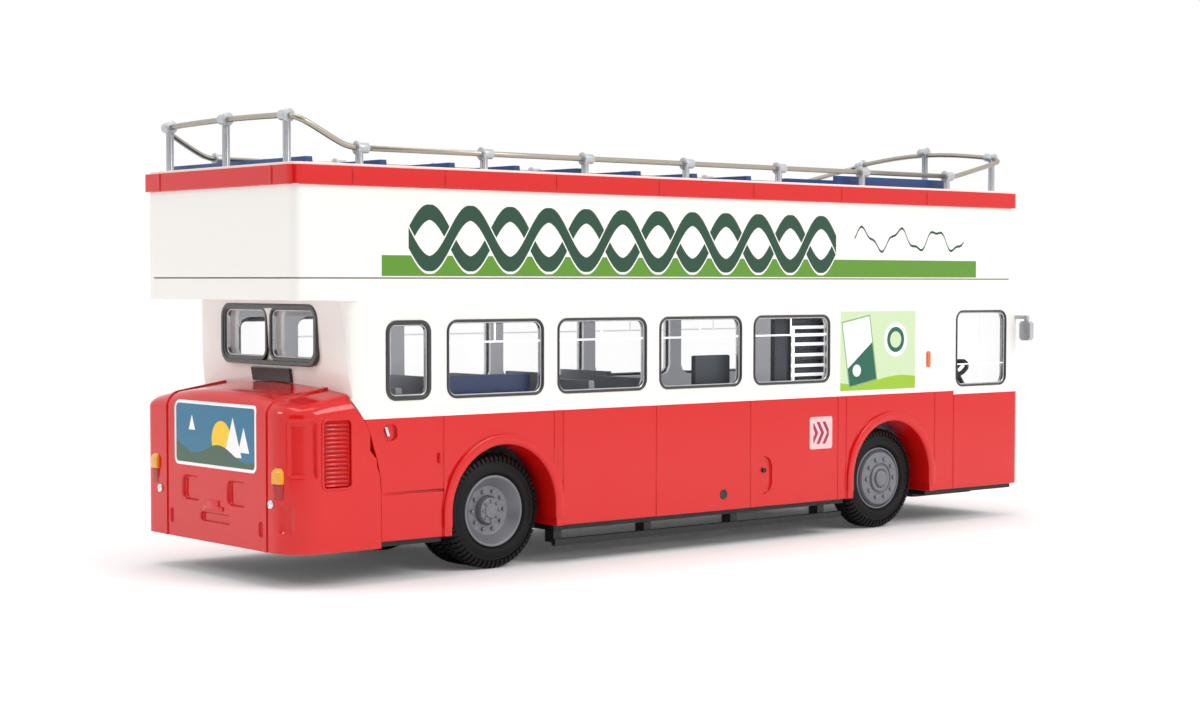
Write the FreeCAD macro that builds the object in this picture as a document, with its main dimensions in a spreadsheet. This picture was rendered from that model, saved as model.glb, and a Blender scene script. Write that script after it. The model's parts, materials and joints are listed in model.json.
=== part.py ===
import FreeCAD, Part
import math
import os
import Sketcher
from FreeCAD import Placement, Rotation, Vector

# Open-top double decker bus, 1:76 model. Millimetres, +X forward, +Y nearside,
# +Z up, origin on the floor under the middle of the bus.

# Driving dimensions. Places along the bus are measured from the datum, a cross
# line close to the rear axle, whose own place is "datum".
sizes = {
    "datum": -33.2,
    "half_width": 16.1,
    "wall": 1.1,
    "upper_wall": 1.4,
    "corner": 1.2,
    "rear_face": -27.0,
    "upper_front": 92.65,
    "lower_front": 93.95,
    "skirt": 4.6,
    "waist": 18.2,
    "seam": 33.56,
    "seam_gap": 0.15,
    "seam_depth": 0.35,
    "ledge": 1.0,
    "band_low": 43.64,
    "band_top": 45.72,
    "lip_top": 46.0,
    "band_flare": 0.4,
    "bead_width": 0.5,
    "bead_proud": 0.12,
    "shelf_low": 31.2,
    "wall_top": -20.5,
    "wall_foot": -19.5,
    "wall_inner": -18.4,
    "recess_corner": 1.9,
    "bay_pitch": 16.0,
    "bay_start": -6.96,
    "bay_window": 13.85,
    "window_low": 20.15,
    "window_high": 28.93,
    "window_corner": 1.3,
    "glass_thick": 0.5,
    "rear_axle": 1.05,
    "front_axle": 66.3,
    "rear_arch": 1.1,
    "front_arch": 66.9,
    "arch_radius": 7.6,
    "arch_centre": 7.07,
    "arch_lip": 1.05,
    "lip_proud": 0.28,
    "arch_return": 3.0,
    "wheel_radius": 6.73,
    "wheel_face": 14.4,
    "tyre_width": 3.4,
    "twin_width": 3.2,
    "twin_gap": 0.5,
    "tyre_shoulder": 0.6,
    "rim_radius": 4.15,
    "rim_inset": 0.4,
    "axle_pin": 0.8,
    "axle_play": 0.05,
    "upper_floor": 34.3,
    "lower_floor": 9.0,
    "base_low": 3.9,
    "base_top": 6.2,
    "pad_low": 3.2,
    "rail_wire": 0.36,
    "rail_side": 47.8,
    "rail_rear": 51.05,
    "rail_front": 50.4,
    "rail_inset": 15.1,
    "post_radius": 0.55,
    "sleeve_radius": 0.8,
    "sleeve_start": -0.5,
    "sleeve_end": 1.2,
    "cover_rear": -27.45,
    "cover_front": -19.9,
    "cover_corner_off": 4.5,
    "cover_corner_near": 1.7,
    "rib_side": 10.9,
    "rib_proud": 0.15,
    "lamp_proud": 0.4,
    "louvre_pitch": 0.48,
    "seat_pitch": 9.36,
    "seat_first": -14.4,
    "seat_inner": 4.5,
    "seat_outer": 14.0,
}

doc = FreeCAD.newDocument("open_top_bus")
dims = doc.addObject("Spreadsheet::Sheet", "dims")
for row, (alias, size) in enumerate(sizes.items(), start=1):
    dims.set(f"A{row}", alias)
    dims.set(f"B{row}", str(size))
    dims.setAlias(f"B{row}", alias)
doc.recompute()

parts = []


def value(text):
    """Number that an expression on the sheet comes to."""
    return float(dims.evalExpression(str(text)))


def along(place):
    """Place along the bus, from the datum line."""
    return f"(dims.datum + {place})"


def bind(item, **links):
    for path, text in links.items():
        item.setExpression(path.replace("__", "."), str(text))


def new_body(name):
    body = doc.addObject("PartDesign::Body", name)
    body.Label = name
    body.Placement = Placement()
    parts.append(body)
    return body


def new_sketch(body, plane, offset="0"):
    """Sketch on one of the body's own planes, moved along that plane's normal."""
    sketch = body.newObject("Sketcher::SketchObject", f"{body.Name}_sketch")
    face = [item for item in body.Origin.OriginFeatures if item.Role == plane][0]
    sketch.AttachmentSupport = [(face, "")]
    sketch.MapMode = "FlatFace"
    sketch.setExpression("AttachmentOffset.Base.z", str(offset))
    return sketch


def place_point(sketch, geo, pos, spot):
    """Tie a point to its two coordinates, each an expression on the sheet."""
    for kind, axis, text in (("DistanceX", -2, spot[0]), ("DistanceY", -1, spot[1])):
        size = value(text)
        if abs(size) < 1e-9:
            sketch.addConstraint(Sketcher.Constraint("PointOnObject", geo, pos, axis))
            continue
        tie = sketch.addConstraint(Sketcher.Constraint(kind, -1, 1, geo, pos, size))
        sketch.setExpression(f"Constraints[{tie}]", str(text))


def eased(corners, flats):
    """Points of an outline whose roundings (x, y, radius) are each a few flats on the arc."""
    spots = [Vector(value(c[0]), value(c[1]), 0) for c in corners]
    points = []
    for i, corner in enumerate(corners):
        if len(corner) < 3 or value(corner[2]) <= 0:
            points.append(corner[:2])
            continue
        back = (spots[i - 1] - spots[i]).normalize()
        ahead = (spots[(i + 1) % len(spots)] - spots[i]).normalize()
        half = back.getAngle(ahead) / 2
        centre = (back + ahead).normalize() / math.sin(half)
        first = back / math.tan(half) - centre
        turn = (math.pi - 2 * half) * (1 if first.cross(ahead / math.tan(half) - centre).z > 0 else -1)
        for step in range(flats + 1):
            spot = centre + Rotation(Vector(0, 0, 1), math.degrees(turn * step / flats)).multVec(first)
            points.append([f"{corner[axis]} + ({corner[2]}) * {spot[axis]:.4f}" for axis in (0, 1)])
    return points


def outline(sketch, corners, flats=2):
    """Closed outline through corners (x, y) or (x, y, radius of the rounding)."""
    points = eased(corners, flats)
    spots = [Vector(value(x), value(y), 0) for x, y in points]
    lines = [sketch.addGeometry(Part.LineSegment(spots[i - 1], spots[i]), False)
             for i in range(len(spots))]
    for i, line in enumerate(lines):
        sketch.addConstraint(Sketcher.Constraint("Coincident", lines[i - 1], 2, line, 1))
        place_point(sketch, line, 2, points[i])


def box_outline(sketch, left, low, right, high, radius="0", flats=2):
    corners = [(left, low), (right, low), (right, high), (left, high)]
    outline(sketch, [(*corner, radius) for corner in corners], flats)


def circle_outline(sketch, across, up, radius):
    ring = Part.Circle(Vector(value(across), value(up), 0), Vector(0, 0, 1), value(radius))
    geo = sketch.addGeometry(ring, False)
    tie = sketch.addConstraint(Sketcher.Constraint("Radius", geo, value(radius)))
    sketch.setExpression(f"Constraints[{tie}]", str(radius))
    place_point(sketch, geo, 3, (across, up))


def feature(body, kind, sketch, length, backwards=False, both=False):
    """Pad or pocket of a sketch."""
    item = body.newObject(f"PartDesign::{kind}", f"{body.Name}_{kind.lower()}")
    item.Profile = sketch
    item.Reversed = backwards
    item.Midplane = both
    item.setExpression("Length", str(length))
    sketch.Visibility = False
    return item


def pad(body, plane, offset, length, draw, **options):
    sketch = new_sketch(body, plane, offset)
    draw(sketch)
    return feature(body, "Pad", sketch, length, **options)


def pocket(body, plane, offset, length, draw, **options):
    sketch = new_sketch(body, plane, offset)
    draw(sketch)
    return feature(body, "Pocket", sketch, length, **options)


def plan(sketch, rear, front, half, rear_radius, front_radius, flats=4):
    """Plan view of a body shell, rounded at its four upright corners."""
    outline(sketch, [
        (rear, f"-({half})", rear_radius),
        (front, f"-({half})", front_radius),
        (front, half, front_radius),
        (rear, half, rear_radius),
    ], flats)


def solid_feature(name, shape):
    """Sub-part made straight from a shape; its sizes come from the sheet."""
    item = doc.addObject("Part::Feature", name)
    item.Label = name
    item.Shape = shape
    item.Placement = Placement()
    parts.append(item)
    return item


def bay(number):
    start = along(f"dims.bay_start + {number} * dims.bay_pitch")
    return start, f"{start} + dims.bay_window"


def boxes(spots, radius="0", flats=2):
    """Drawing of rectangles, each (left, low, right, high)."""
    def draw(sketch):
        for spot in spots:
            box_outline(sketch, *spot, radius, flats)
    return draw


def side_cut(body, side, length, draw):
    """Pocket from just outside one side of the bus; side is 1 for the nearside."""
    return pocket(body, "XZ_Plane", f"-({side}) * (dims.half_width + 0.5)", f"{length} + 0.5", draw,
                  backwards=side > 0)


def side_pad(body, side, start, length, draw):
    """Pad that grows outwards from a place on one side of the bus."""
    return pad(body, "XZ_Plane", f"-({side}) * ({start})", length, draw, backwards=side > 0)


def arch_outline(sketch, centre, radius, low, flats=12):
    """Opening with straight sides below and a round top, drawn as a row of flats."""
    points = [(along(f"{centre} - ({radius})"), low), (along(f"{centre} + ({radius})"), low)]
    for step in range(flats + 1):
        angle = math.pi * step / flats
        points.append((along(f"{centre} + ({radius}) * {math.cos(angle):.4f}"),
                       f"dims.arch_centre + ({radius}) * {math.sin(angle):.4f}"))
    outline(sketch, points)


# Lower-deck casting: sides, front, leaning back wall and the shelf over it.
def make_lower_body():
    body = new_body("lower_body")
    rear = along("dims.wall_top")
    front = along("dims.lower_front")
    inner = "dims.half_width - dims.wall"
    pad(body, "XY_Plane", "dims.skirt", "dims.seam - dims.skirt",
        lambda s: plan(s, rear, front, "dims.half_width", "dims.recess_corner", "dims.corner"))
    pad(body, "XY_Plane", "dims.shelf_low", "dims.seam - dims.shelf_low",
        lambda s: plan(s, along("dims.rear_face"), along("40"), "dims.half_width", "dims.corner", "0"))
    # The back wall leans forward towards its foot.
    pocket(body, "XZ_Plane", "0", "4 * dims.half_width", lambda s: outline(s, [
        (along("dims.rear_face - 2"), "dims.shelf_low"),
        (rear, "dims.shelf_low"),
        (along("dims.wall_top + 0.3"), "26"),
        (along("dims.wall_foot"), "20.5"),
        (along("dims.rear_face - 2"), "20.5"),
    ]), both=True)
    # The hollow saloon, with a ledge round its top that carries the upper floor.
    pocket(body, "XY_Plane", "dims.seam - 0.56", "dims.seam - dims.skirt",
           lambda s: plan(s, along("dims.wall_inner"), f"{front} - dims.wall", inner,
                          "dims.recess_corner - dims.wall", "0.3", flats=1))
    pocket(body, "XY_Plane", "dims.seam", "1",
           lambda s: plan(s, along("dims.wall_inner + dims.ledge"), f"{front} - dims.wall - dims.ledge",
                          f"{inner} - dims.ledge", "0", "0"))
    # Room for the engine cover, behind the curved rear edge of the sides.
    pocket(body, "XZ_Plane", "0", "4 * dims.half_width", lambda s: outline(s, [
        (along("-40"), "1"),
        (along("-15.9"), "1"),
        (along("-15.9"), "12", "12"),
        (along("-17.6"), "17.4", "6"),
        (along("-19.6"), "20.3"),
        (along("-19.6"), "20.95"),
        (along("-40"), "20.95"),
    ]), both=True)
    add_side_mouldings(body)
    # Wheel arches: a lip outside, a return wall inside and the opening through both.
    for centre in ("dims.rear_arch", "dims.front_arch"):
        for side in (1, -1):
            side_pad(body, side, "dims.half_width - 0.3", "dims.lip_proud + 0.3",
                     lambda s: arch_outline(s, centre, "dims.arch_radius + dims.arch_lip", "dims.skirt"))
            side_pad(body, side, f"{inner} - dims.arch_return", "dims.arch_return + 0.3",
                     lambda s: arch_outline(s, centre, "dims.arch_radius + 0.6", "dims.skirt"))
        pocket(body, "XZ_Plane", "0", "4 * dims.half_width",
               lambda s: arch_outline(s, centre, "dims.arch_radius", "1"), both=True)
    cut_windows(body)
    return body


def add_side_mouldings(body):
    """Upright beads where the side panels meet."""
    places = {
        -1: ("-7.26", "8.74", "10.07", "24.74", "40.74", "56.74", "58.33", "75.94", "79.86"),
        1: ("-7.26", "8.74", "10.07", "24.74", "40.74", "56.74", "58.33", "75.94"),
    }
    for side, beads in places.items():
        side_pad(body, side, "dims.half_width - 0.3", "dims.bead_proud + 0.3", boxes([
            (along(f"{place} - dims.bead_width / 2"), "dims.skirt",
             along(f"{place} + dims.bead_width / 2"), "dims.waist") for place in beads]))


def cut_windows(body):
    """Openings of the lower deck, and the shallow recesses of the offside."""
    low, high, corner = "dims.window_low", "dims.window_high", "dims.window_corner"
    for side, count in ((-1, 4), (1, 5)):
        spots = [bay(number) for number in range(count)]
        spots.append((along("-15.24"), along("-9.25")))
        spots = [(left, low, right, high) for left, right in spots]
        if side < 0:
            spots.append((along("80.1"), "18.8", along("90.8"), "29.25"))
        side_cut(body, side, "dims.wall + 1", boxes(spots, corner))
    side_cut(body, 1, "dims.wall + 1", boxes([(along("77.4"), "5.6", along("90.4"), "29.3")], "0.8"))
    # Rear window and windscreen, each two lights either side of a pillar.
    pocket(body, "YZ_Plane", along("dims.wall_top - 0.5"), "4",
           boxes([("-9.8", "24.3", "-0.3", "30.4"), ("0.3", "24.3", "9.8", "30.4")], corner),
           backwards=True)
    pocket(body, "YZ_Plane", along("dims.lower_front + 0.5"), "dims.wall + 1",
           boxes([("-14.2", "18.4", "-0.4", "29.4"), ("0.4", "18.4", "14.2", "29.4")], corner))
    # Emergency door catch, fuel filler and drain hole, all on the offside.
    side_cut(body, -1, "0.4", boxes([(along("-15.6"), "15.7", along("-13.8"), "17.5")], "0.4", 1))
    side_cut(body, -1, "0.3", boxes([(along("41.7"), "6.2", along("44.4"), "11.0")], "1.2"))
    side_cut(body, -1, "0.7", boxes([(along("35.3"), "5.95", along("36.5"), "7.15")], "0.35", 1))
    side_cut(body, -1, "0.15", boxes([(along("-15.6"), "9.75", along("-7.5"), "9.97")]))


# Upper-deck casting: an open tub of thin walls with a thicker band along its top.
def make_upper_body():
    body = new_body("upper_body")
    rear, front = along("dims.rear_face"), along("dims.upper_front")
    start = "dims.seam + dims.seam_gap"
    pad(body, "XY_Plane", start, f"dims.lip_top - ({start})",
        lambda s: plan(s, rear, front, "dims.half_width", "dims.corner", "dims.corner"))
    pad(body, "XY_Plane", "dims.seam", "dims.seam_gap",
        lambda s: plan(s, f"{rear} + dims.seam_depth", f"{front} - dims.seam_depth",
                       "dims.half_width - dims.seam_depth", "dims.corner - dims.seam_depth",
                       "dims.corner - dims.seam_depth"))
    flare = "dims.band_flare"
    pad(body, "XY_Plane", "dims.band_low", "dims.band_top - dims.band_low",
        lambda s: plan(s, f"{rear} - {flare}", f"{front} + {flare}", f"dims.half_width + {flare}",
                       "dims.corner", "dims.corner"))
    band = "dims.band_top - dims.band_low"
    half_bead = "dims.bead_width / 2"
    side = f"(dims.half_width + {flare} + dims.bead_proud)"
    pad(body, "XY_Plane", "dims.band_low", band, boxes([
        (along(f"{place} - {half_bead}"), f"-{side}", along(f"{place} + {half_bead}"), side)
        for place in ("-19.6", "-7.26", "8.74", "24.74", "40.74", "56.74", "73.5")]))
    pad(body, "XY_Plane", "dims.band_low", band, boxes([
        (f"{rear} - {flare} - dims.bead_proud", f"{place} - {half_bead}",
         f"{front} + {flare} + dims.bead_proud", f"{place} + {half_bead}")
        for place in ("-12.2", "12.2")]))
    wall = "dims.upper_wall"
    pocket(body, "XY_Plane", "dims.lip_top + 1", "dims.lip_top - dims.seam + 2",
           lambda s: plan(s, f"{rear} + {wall}", f"{front} - {wall}", f"dims.half_width - {wall}",
                          "0.4", "0.4", flats=1))
    # Blank destination display over the windscreen.
    pocket(body, "YZ_Plane", f"{front} + 0.5", "0.9",
           lambda s: box_outline(s, "-9", "35.5", "9", "42.4", "0.4", 1))
    return body


def cover_profile(sketch, crest, foot, bend, proud="0"):
    """Side view of the engine cover at one place across the bus."""
    rear = along(f"dims.cover_rear - {proud}")
    outline(sketch, [
        (along("-16.2"), "dims.base_low"),
        (along("-16.2"), "12", "12"),
        (along("-17.9"), "17.4", "6"),
        (along("dims.cover_front"), "20.0"),
        (along("dims.cover_front"), f"{foot} + {proud}"),
        (along(f"dims.cover_rear + {bend} - {proud}"), f"{crest} + {proud}", f"1.4 + {bend}"),
        (rear, "12.5"),
        (rear, "dims.base_low"),
    ], flats=3)


def cover_plan(sketch, rear, front, half, thinner):
    """Plan of the engine cover: a large rounding offside, a small one nearside."""
    outline(sketch, [
        (rear, f"-({half})", f"dims.cover_corner_off - {thinner}"),
        (front, f"-({half})"),
        (front, half),
        (rear, half, f"dims.cover_corner_near - {thinner}"),
    ], flats=5)


# Engine cover across the back: a crowned shell, open below and ahead.
def make_engine_cover():
    body = new_body("engine_cover")
    rear = along("dims.cover_rear")
    half = "dims.half_width"
    sections = []
    for place, crest, foot, bend in (
            (f"{half}", "19.3", "20.8", "0.1"), ("dims.rib_side", "20.3", "21.4", "0.35"),
            ("0", "20.95", "21.85", "0.5"),
            ("-dims.rib_side", "20.3", "21.4", "0.35"), (f"-{half}", "19.3", "20.8", "0.1")):
        sketch = new_sketch(body, "XZ_Plane", place)
        cover_profile(sketch, crest, foot, bend)
        sections.append(sketch)
    loft = body.newObject("PartDesign::AdditiveLoft", "crowned_shell")
    loft.Profile = sections[0]
    loft.Sections = sections[1:]
    loft.Ruled = True
    for place in ("dims.rib_side", "-dims.rib_side"):
        pad(body, "XZ_Plane", place, "dims.bead_width",
            lambda s: cover_profile(s, "20.3", "21.4", "0.35", "dims.rib_proud"), both=True)

    def trim(sketch):
        box_outline(sketch, f"{rear} - 5", f"-{half} - 5", along("-10"), f"{half} + 5")
        cover_plan(sketch, f"{rear} - dims.rib_proud", along("-12"), half, "0")

    pocket(body, "XY_Plane", "30", "40", trim)
    add_lamp_pods(body)
    pocket(body, "XY_Plane", "18.4", "20", lambda s: cover_plan(
        s, f"{rear} + dims.wall", along("-11"), f"{half} - dims.wall", "dims.wall"))
    cut_cover_recesses(body)
    add_louvres(body)
    return body


def add_lamp_pods(body):
    """Raised seats of the two tail lamps, each fading into the face below its lamp."""
    rear = along("dims.cover_rear")
    for middle in ("13.4", "-13.2"):
        pad(body, "XZ_Plane", f"-({middle})", "2.0", lambda s: outline(s, [
            (f"{rear} + 2", "9.8"),
            (f"{rear}", "9.8"),
            (f"{rear} - dims.lamp_proud", "11.4"),
            (f"{rear} - 0.1", "11.4"),
            (f"{rear} - 0.1", "13.3"),
            (f"{rear} + 2", "13.3"),
        ]), both=True)


def cut_cover_recesses(body):
    """Pressed recesses of the lower lid and of the offside corner."""
    outside = along("dims.cover_rear - 1")
    for depth, rounding, spots in (
            ("0.45", "0.9", [("3.3", "8.1", "7.4", "11.2"), ("-6.7", "8.2", "-2.5", "11.3")]),
            ("0.35", "0.5", [("-3.4", "6.1", "3.4", "7.2")]),
            ("0.3", "0.3", [("9.2", "5.3", "10.2", "7.3"), ("-10.3", "5.3", "-9.2", "7.3")])):
        pocket(body, "YZ_Plane", outside, f"1 + {depth}", boxes(spots, rounding), backwards=True)
    # Flat sunk panel on the rounded corner, and a step below it.
    for low, high, depth in ((12.3, 18.2, 0.45), (6.2, 8.6, 0.35)):
        radius = value("dims.cover_corner_off")
        middle = Vector(value(along("dims.cover_rear")) + radius, radius - value("dims.half_width"), low)
        panel = body.newObject("PartDesign::SubtractiveBox", "corner_panel")
        bind(panel, Length="3", Width="3.4", Height=f"{high} - {low}")
        reach = radius - depth
        turn = Rotation(Vector(0, 0, 1), 225)
        base = middle + turn.multVec(Vector(reach, -1.7, 0))
        panel.Placement = Placement(base, turn)


def add_louvres(body):
    """Sunk grille of fifteen slats behind the offside corner."""
    left, right = along("-23.5"), along("-19.75")
    low, count = "11.0", 15
    side_cut(body, -1, "0.35", lambda s: box_outline(
        s, left, low, right, f"{low} + {count} * dims.louvre_pitch"))
    feet = [f"{low} + {number} * dims.louvre_pitch" for number in range(count)]
    side_pad(body, -1, "dims.half_width - 0.5", "0.42",
             boxes([(left, f"{foot} + 0.12", right, f"{foot} + 0.36") for foot in feet]))


# Black base that closes the underside and carries both axles.
def make_chassis():
    body = new_body("chassis")
    half = "dims.half_width - dims.wall"
    front = along("dims.lower_front - dims.wall")
    pad(body, "XY_Plane", "dims.base_low", "dims.base_top - dims.base_low", lambda s: outline(s, [
        (along("dims.cover_rear + dims.wall"), f"-({half})", "dims.cover_corner_off - dims.wall"),
        (front, f"-({half})", "0.6"),
        (front, half, "0.6"),
        (along("dims.cover_rear + dims.wall"), half, "dims.cover_corner_near - dims.wall"),
    ], flats=5))
    pad(body, "XY_Plane", "dims.base_low", "dims.skirt - dims.base_low", lambda s: box_outline(
        s, along("80"), f"-({half})", along("93.6"), half, "0.3", 1))
    # Wheel wells, wide enough for the returns of the arches.
    for centre, well in (("dims.rear_arch", "7.2"), ("dims.front_arch", "10.7")):
        reach = "dims.arch_radius + 0.6"
        for side in ("1", "-1"):
            pocket(body, "XY_Plane", "dims.base_top + 1", "5", lambda s: box_outline(
                s, along(f"{centre} - ({reach})"), f"{side} * {well}",
                along(f"{centre} + ({reach})"), f"{side} * ({half})"))
    # Axle housings between the wheels.
    for axle, inner in (("dims.rear_axle", "7.1"), ("dims.front_axle", "10.6")):
        pad(body, "XZ_Plane", "0", f"2 * {inner}", lambda s: box_outline(
            s, along(f"{axle} - 3"), "dims.base_low", along(f"{axle} + 3"),
            "dims.wheel_radius + 1"), both=True)
        pocket(body, "XZ_Plane", "0", "4 * dims.half_width", lambda s: circle_outline(
            s, along(axle), "dims.wheel_radius", "dims.axle_pin + dims.axle_play"), both=True)
    # Raised floor pan between the axles and the block under the cab.
    for left, right, reach in (("13", "56", "9"), ("77", "90", "11")):
        pad(body, "XY_Plane", "dims.pad_low", "dims.base_low - dims.pad_low",
            lambda s: box_outline(s, along(left), f"-{reach}", along(right), reach, "0.8"))
    return body


def revolve(name, axle, corners):
    """Round piece about an axle; corners are (place across the bus, radius)."""
    body = new_body(name)
    sketch = new_sketch(body, "YZ_Plane", along(axle))
    bind(sketch, AttachmentOffset__Base__y="dims.wheel_radius")
    outline(sketch, corners)
    turn = body.newObject("PartDesign::Revolution", f"{name}_turn")
    turn.Profile = sketch
    turn.ReferenceAxis = (sketch, ["H_Axis"])
    turn.Angle = 360
    return body


def make_tyre(name, axle, side, inner, outer, shoulder=None):
    """Tyre on one side of the bus; the outer ones have a bevelled outer shoulder."""
    corners = [(inner, "dims.rim_radius"), (inner, "dims.wheel_radius")]
    if shoulder:
        corners += [(f"{outer} - {shoulder}", "dims.wheel_radius"), (outer, f"dims.wheel_radius - {shoulder}")]
    else:
        corners.append((outer, "dims.wheel_radius"))
    corners.append((outer, "dims.rim_radius"))
    return revolve(name, axle, [(f"{side} * ({place})", radius) for place, radius in corners])


def make_hub(name, axle, side, seat, steps):
    """Wheel centre seated in its tyres and bored for the pin; steps run from the bore out."""
    face = "(dims.wheel_face - dims.rim_inset)"
    corners = [(seat, "dims.axle_pin")]
    corners += [(f"{face} - ({depth})", radius) for depth, radius in steps]
    if steps[-1][1] != "dims.rim_radius":
        corners.append((face, "dims.rim_radius"))
    corners.append((seat, "dims.rim_radius"))
    return revolve(name, axle, [(f"{side} * ({place})", radius) for place, radius in corners])


def make_axle(name, axle, inset):
    pin = doc.addObject("Part::Cylinder", name)
    pin.Label = name
    half = f"(dims.wheel_face - dims.rim_inset - {inset})"
    bind(pin, Radius="dims.axle_pin", Height=f"2 * {half}")
    pin.Placement = Placement(Vector(0, 0, 0), Rotation(Vector(1, 0, 0), 90))
    bind(pin, Placement__Base__x=along(axle), Placement__Base__y=half,
         Placement__Base__z="dims.wheel_radius")
    parts.append(pin)
    return pin


# Front wheels have a raised centre, rear ones a deep dish and twin tyres.
def make_wheels():
    front_steps = [("-0.9", "dims.axle_pin"), ("-0.9", "1.3"), ("-0.4", "1.3"), ("-0.4", "3.6"),
                   ("0.3", "3.6"), ("0.3", "dims.rim_radius")]
    rear_steps = [("0.5", "dims.axle_pin"), ("0.5", "1.55"), ("1.3", "1.55"), ("1.3", "2.8"),
                  ("0", "3.9")]
    for end, axle, steps, inset in (("front", "dims.front_axle", front_steps, "-0.9"),
                                    ("rear", "dims.rear_axle", rear_steps, "0.5")):
        make_axle(f"{end}_axle", axle, inset)
        for name, side in (("left", "1"), ("right", "-1")):
            width = "dims.tyre_width" if end == "front" else "dims.twin_width"
            seat = f"dims.wheel_face - {width}"
            make_tyre(f"{end}_tyre_{name}", axle, side, seat, "dims.wheel_face", "dims.tyre_shoulder")
            if end == "rear":
                outer = "dims.wheel_face - dims.twin_width - dims.twin_gap"
                seat = f"{outer} - dims.twin_width"
                make_tyre(f"rear_inner_tyre_{name}", axle, side, seat, outer)
            make_hub(f"{end}_hub_{name}", axle, side, seat, steps)


def make_box(name, length, width, height, x, y, z):
    item = doc.addObject("Part::Box", name)
    item.Label = name
    item.Placement = Placement()
    bind(item, Length=length, Width=width, Height=height)
    bind(item, Placement__Base__x=x, Placement__Base__y=y, Placement__Base__z=z)
    parts.append(item)
    return item


# Clear strips behind the window openings.
def make_glazing():
    inner = "dims.half_width - dims.wall"
    thick = "dims.glass_thick"
    for name, left, right, y in (("glazing_offside", "-15.9", "92", f"-({inner})"),
                                 ("glazing_nearside", "-15.9", "72.5", f"{inner} - {thick}")):
        make_box(name, f"{right} - {left}", thick, "12.2", along(left), y, "18.0")
    for name, place, half, low, high in (
            ("rear_glass", along("dims.wall_inner"), "12", "23.0", "31.6"),
            ("windscreen", f"{along('dims.lower_front')} - dims.wall - {thick}", "14.4", "17.4", "30.4")):
        make_box(name, thick, f"2 * {half}", f"{high} - {low}", place, f"-{half}", low)


def seat_profile(sketch, start, floor):
    """Side view of one seat: cushion, knee edge and leaning back."""
    spots = ((0.2, 0), (4.9, 0), (5.8, 5.6), (1.6, 5.2), (0.7, 12.4), (-0.1, 12.4))
    outline(sketch, [(along(f"{start} + {x}"), f"{floor} + {z}") for x, z in spots])


def add_seats(body, starts, floor, low, high):
    """Row of seats between two places across the bus."""
    def draw(sketch):
        for start in starts:
            seat_profile(sketch, start, floor)
    pad(body, "XZ_Plane", f"-({high})", f"{high} - ({low})", draw)


# Upper-deck moulding: floor, double seats, rear bench and the stairwell enclosure.
def make_upper_seats():
    body = new_body("upper_seats")
    half = "dims.half_width - dims.upper_wall"
    floor = "dims.upper_floor"
    pad(body, "XY_Plane", "dims.seam", f"{floor} - dims.seam", lambda s: box_outline(
        s, along("dims.rear_face + dims.upper_wall"), f"-({half})",
        along("dims.upper_front - dims.upper_wall"), half, "0.4", 1))
    rows = [f"dims.seat_first + {row} * dims.seat_pitch" for row in range(9)]
    add_seats(body, ["-24.3"], floor, "-14.4", "14.4")
    add_seats(body, [*rows, "79"], floor, "dims.seat_inner", "dims.seat_outer")
    add_seats(body, rows[:7], floor, "-dims.seat_outer", "-dims.seat_inner")
    # Stairwell: three walls round the opening in the floor.
    pad(body, "XY_Plane", floor, "13", lambda s: outline(s, [
        (along("80.5"), "-13.5"), (along("80.5"), "-3"), (along("59"), "-3"), (along("59"), "-3.9"),
        (along("79.6"), "-3.9"), (along("79.6"), "-12.6"), (along("59"), "-12.6"), (along("59"), "-13.5"),
    ]))
    pocket(body, "XY_Plane", floor, "2", lambda s: box_outline(
        s, along("60"), "-12.6", along("79.6"), "-3.9"))
    return body


# Saloon moulding: floor, wheel boxes, seats, engine bulkhead and cab wall.
def make_lower_seats():
    body = new_body("lower_seats")
    half = "dims.half_width - dims.wall"
    floor = "dims.lower_floor"
    pad(body, "XY_Plane", f"{floor} - 1.2", "1.2",
        lambda s: box_outline(s, along("-15.7"), f"-({half})", along("76"), half))
    inner = "dims.half_width - dims.wall - dims.arch_return"
    arches = (("dims.rear_arch", "7.2"), ("dims.front_arch", "10.7"))
    for centre, well in arches:
        for side in (1, -1):
            across_pad(body, side, f"{well} - 0.5", inner, lambda s: arch_outline(
                s, centre, "dims.arch_radius + 1", "dims.lower_floor - 1.2", flats=5))
    rows = [f"-12.6 + {row} * dims.seat_pitch" for row in range(6)]
    add_seats(body, rows, floor, "dims.seat_inner", "14.2")
    add_seats(body, [rows[0], *rows[3:5]], floor, "-14.2", "-dims.seat_inner")
    # Bench along the offside, over the rear wheel.
    pad(body, "YZ_Plane", along("-6.2"), "12.4", lambda s: outline(s, [
        ("-14.4", "15"), ("-7.6", "15"), ("-7.6", "17.3"), ("-12.6", "17.3"), ("-13.2", "22.5"),
        ("-14.4", "22.5"),
    ]))
    # Room for the wheels, and further out for the returns of the arches.
    for centre, well in arches:
        for side in (1, -1):
            side_cut(body, side, f"dims.half_width - ({inner})", lambda s: arch_outline(
                s, centre, "dims.arch_radius + 1.1", "5", flats=5))
            side_cut(body, side, f"dims.half_width - {well}", lambda s: arch_outline(
                s, centre, "dims.arch_radius + 0.4", "5", flats=5))
    return body


def across_pad(body, side, low, high, draw):
    """Pad between two distances from the middle plane, on one side of it."""
    start, end = (low, high) if side > 0 else (f"-({high})", f"-({low})")
    return pad(body, "XZ_Plane", f"-({end})", f"{end} - ({start})", draw)


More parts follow.
